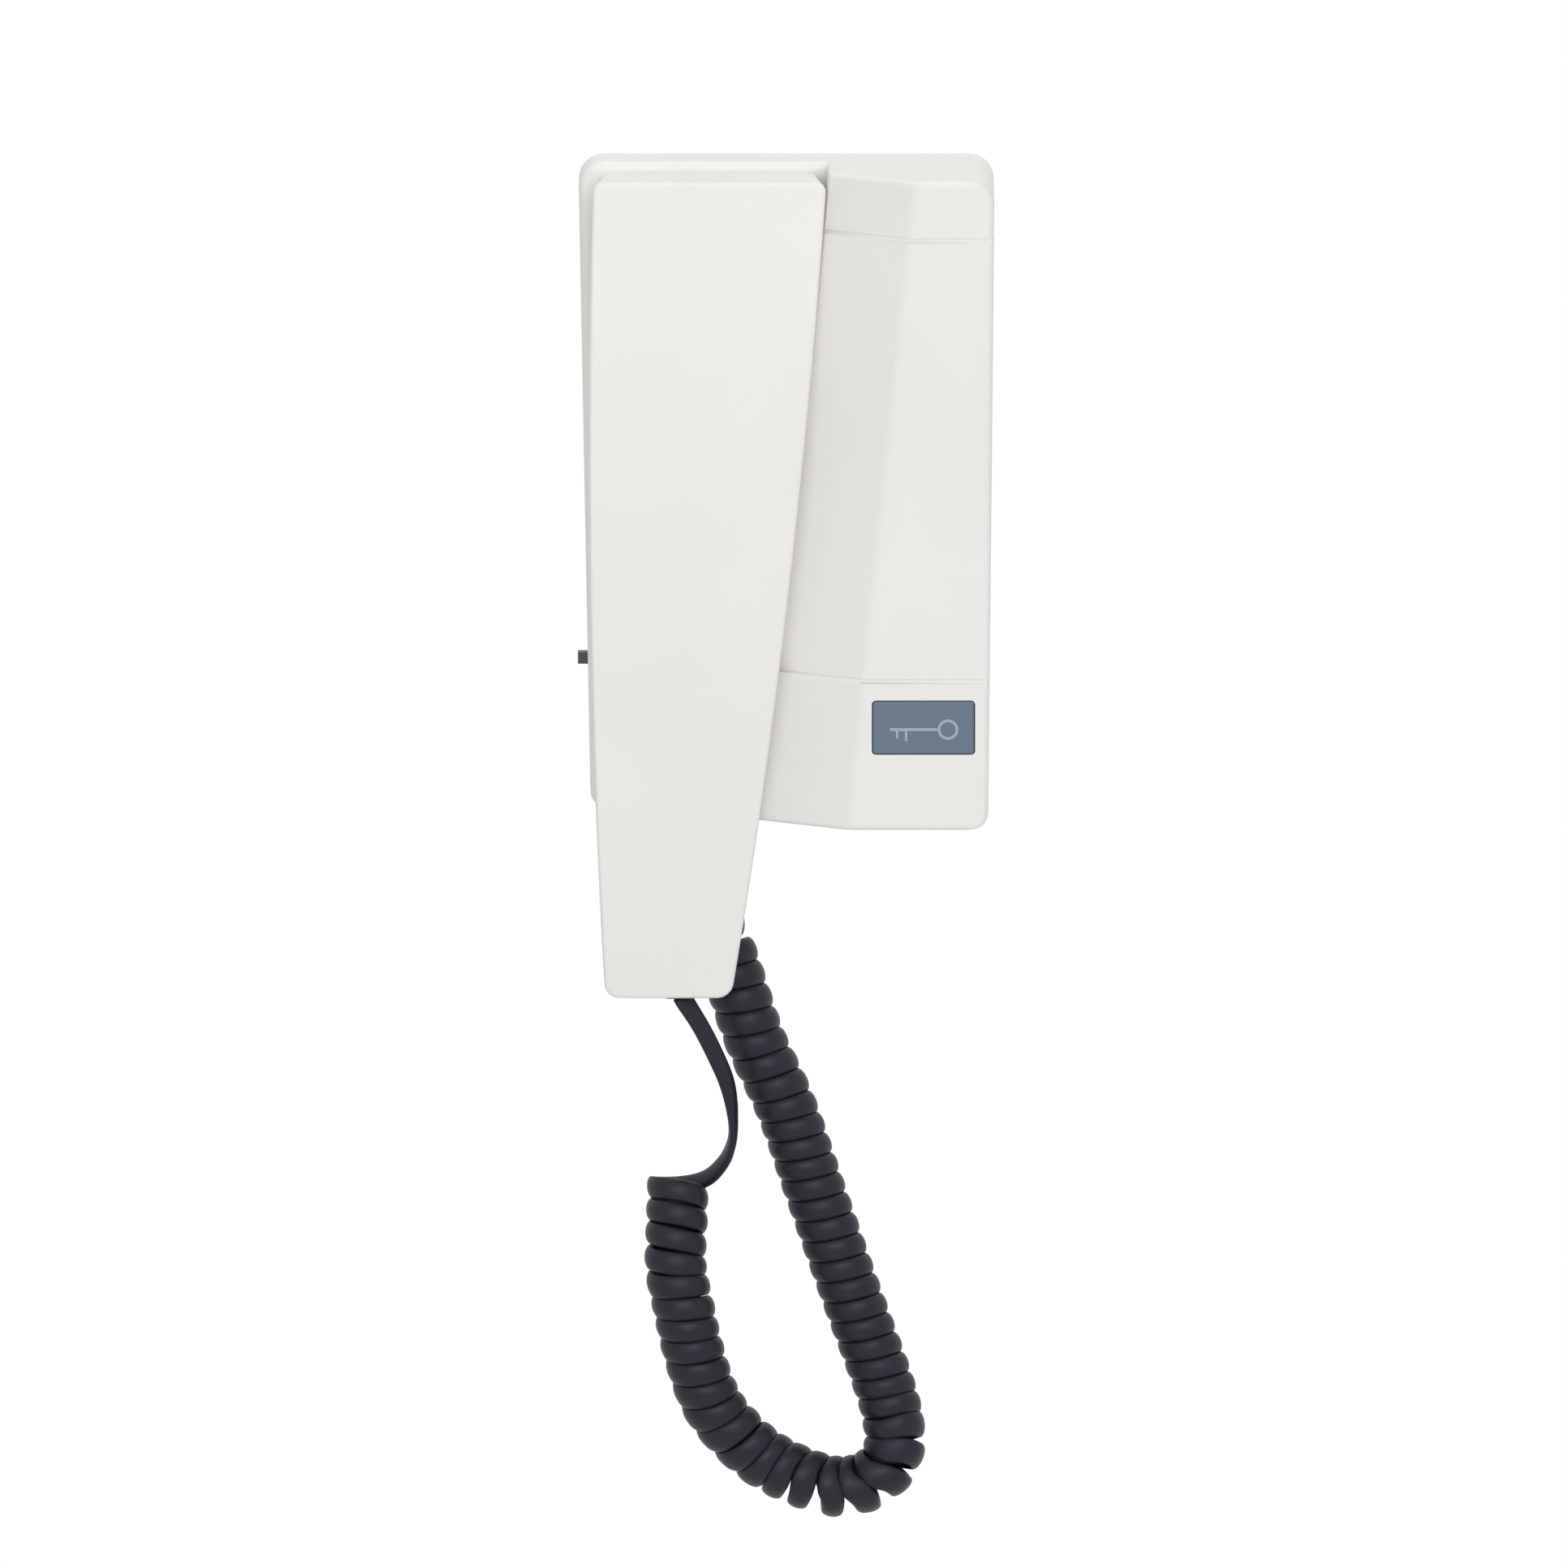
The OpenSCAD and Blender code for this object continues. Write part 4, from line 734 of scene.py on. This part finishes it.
# %% [markdown]
# ## Shaft and teeth
# The shaft is one long plane. It is cut across where each tooth begins and ends, and the
# short lower edges between the cuts are pulled down to make the teeth.

# %% Key shaft
SHAFT_FROM, SHAFT_TO, SHAFT_T = 0.0259, 0.0379, 0.00073
TEETH = ((0.0277, 0.0006, -0.0589), (0.02995, 0.0006, -0.05955))
BESIDE = 0.00005

bpy.ops.object.select_all(action="DESELECT")
bpy.ops.mesh.primitive_plane_add(size=1, location=((SHAFT_FROM + SHAFT_TO) / 2, FACE_Y, KEY_Z),
                                 rotation=(radians(90), 0, 0))
shaft = bpy.context.object
shaft.scale = (SHAFT_TO - SHAFT_FROM, SHAFT_T, 1)
bpy.ops.object.transform_apply(location=True, rotation=True, scale=True)
for x, width, _ in TEETH:
    for cut in (x - width / 2, x + width / 2):
        bpy.ops.object.mode_set(mode="EDIT")
        bpy.ops.mesh.select_all(action="SELECT")
        bpy.ops.mesh.bisect(plane_co=(cut, FACE_Y, KEY_Z), plane_no=(1, 0, 0))
        bpy.ops.object.mode_set(mode="OBJECT")
for x, width, foot in TEETH:
    bpy.ops.object.mode_set(mode="EDIT")
    bpy.ops.mesh.select_all(action="DESELECT")
    bpy.ops.mesh.select_mode(type="EDGE")
    bpy.ops.object.mode_set(mode="OBJECT")
    low = KEY_Z - SHAFT_T / 2
    for edge in shaft.data.edges:
        a, b = (shaft.data.vertices[v].co for v in edge.vertices)
        under = max(abs(a.z - low), abs(b.z - low)) < NEAR
        edge.select = under and abs((a.x + b.x) / 2 - x) < BESIDE
    bpy.ops.object.mode_set(mode="EDIT")
    bpy.ops.mesh.extrude_region_move(TRANSFORM_OT_translate={"value": (0, 0, foot - low)})
    bpy.ops.object.mode_set(mode="OBJECT")
print("shaft of the key:", len(shaft.data.polygons), "faces")

# %% [markdown]
# ## The print as a thin film
# Bow and shaft become one piece. Solidify gives the film its few hundredths of a millimetre,
# standing on the button's face, and the film rides on the button.

# %% Key film
FILM_T = 0.00003
key_sign.select_set(True)
bpy.context.view_layer.objects.active = key_sign
bpy.ops.object.join()
select_only(key_sign)
bpy.ops.object.mode_set(mode="EDIT")
bpy.ops.mesh.select_all(action="SELECT")
bpy.ops.mesh.normals_make_consistent(inside=False)
bpy.ops.object.mode_set(mode="OBJECT")
if sum(face.normal.y * face.area for face in key_sign.data.polygons) > 0:
    bpy.ops.object.mode_set(mode="EDIT")
    bpy.ops.mesh.flip_normals()
    bpy.ops.object.mode_set(mode="OBJECT")
film = key_sign.modifiers.new("film", "SOLIDIFY")
film.thickness = FILM_T
film.offset = 1.0
bpy.ops.object.modifier_apply(modifier=film.name)
key_print = plastic("key_print", (0.335, 0.425, 0.455), (0.315, 0.405, 0.435), (0.4, 0.5), 2400, 0.08)
key_sign.data.materials.clear()
key_sign.data.materials.append(key_print)
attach(key_sign, "door_button")
print("key sign:", [round(v, 5) for v in key_sign.dimensions])

# %% [markdown]
# ## White all round
# The picture was lit softly from all round, on a white ground. A pale world gives the even
# light. To the camera, and in what a shiny surface mirrors, the same world is plain white.

# %% World
AROUND = 0.525


def white_to(tree):
    rays = add_node(tree, "ShaderNodeLightPath")
    seen = rays.outputs["Is Camera Ray"]
    for kind in ("Is Glossy Ray", "Is Transmission Ray"):
        also = add_node(tree, "ShaderNodeMath", operation="MAXIMUM")
        tree.links.new(seen, also.inputs[0])
        tree.links.new(rays.outputs[kind], also.inputs[1])
        seen = also.outputs[0]
    return seen


world = bpy.data.worlds.new("white_studio")
world.use_nodes = True
bpy.context.scene.world = world
tree = world.node_tree
tree.nodes.clear()
around = add_node(tree, "ShaderNodeBackground")
around.inputs["Color"].default_value = (1, 1, 1, 1)
around.inputs["Strength"].default_value = AROUND
ground = add_node(tree, "ShaderNodeBackground")
ground.inputs["Color"].default_value = (1, 1, 1, 1)
ground.inputs["Strength"].default_value = 1.0
either = add_node(tree, "ShaderNodeMixShader")
tree.links.new(white_to(tree), either.inputs["Fac"])
tree.links.new(around.outputs["Background"], either.inputs[1])
tree.links.new(ground.outputs["Background"], either.inputs[2])
tree.links.new(either.outputs["Shader"], add_node(tree, "ShaderNodeOutputWorld").inputs["Surface"])
print("world:", world.name, "strength", AROUND)

# %% [markdown]
# ## Lamps
# Three wide soft lamps give the small differences between the faces. Two stand in front, one
# to the right and one to the left: the right one leaves the slope a little darker than the
# panel, the left one reaches the narrow strip beside the handset. The third hangs above and
# brings up the top faces.

# %% Lamps
LAMP_SIZE = 1.4


def soft_lamp(name, place, power):
    lamp = bpy.data.objects.new(name, bpy.data.lights.new(name, "AREA"))
    bpy.context.scene.collection.objects.link(lamp)
    lamp.data.shape = "DISK"
    lamp.data.size = LAMP_SIZE
    lamp.data.energy = power
    lamp.location = place
    lamp.rotation_euler = (LOOK_AT - Vector(place)).to_track_quat("-Z", "Y").to_euler()
    return lamp


right_lamp = soft_lamp("right_lamp", (0.6, -2, 1), 12.1)
left_lamp = soft_lamp("left_lamp", (-0.3, -2, 0.6), 9.6)
top_lamp = soft_lamp("top_lamp", (0.1, 0.4, 1.9), 10)
print("lamps:", right_lamp.name, left_lamp.name, top_lamp.name)

# %% [markdown]
# ## Floor
# The intercom hangs on a wall, so nothing stands on the floor. A plain pale floor lies well
# below it. Where the camera or a shiny surface sees it, a little light of its own brings it up
# to the white of the ground.

# %% Floor
FLOOR_Z, FLOOR_R = -0.7, 1.2
FLOOR_LIFT = 0.34
bpy.ops.object.select_all(action="DESELECT")
bpy.ops.mesh.primitive_circle_add(vertices=96, radius=FLOOR_R, fill_type="NGON", location=(0, 0, FLOOR_Z))
floor = bpy.context.object
floor.name = "floor"
bpy.ops.object.transform_apply(location=True, rotation=True, scale=True)
floor_paint = plastic("floor_paint", (0.86, 0.86, 0.86), (0.84, 0.84, 0.84), (0.6, 0.7), 300, 0.05)
floor_tree = floor_paint.node_tree
floor_shader = next(node for node in floor_tree.nodes if node.type == "BSDF_PRINCIPLED")
floor_lift = add_node(floor_tree, "ShaderNodeMath", operation="MULTIPLY")
floor_lift.inputs[1].default_value = FLOOR_LIFT
floor_tree.links.new(white_to(floor_tree), floor_lift.inputs[0])
floor_tree.links.new(floor_lift.outputs[0], floor_shader.inputs["Emission Strength"])
floor_shader.inputs["Emission Color"].default_value = (1, 1, 1, 1)
floor.data.materials.append(floor_paint)
print("floor at", FLOOR_Z)
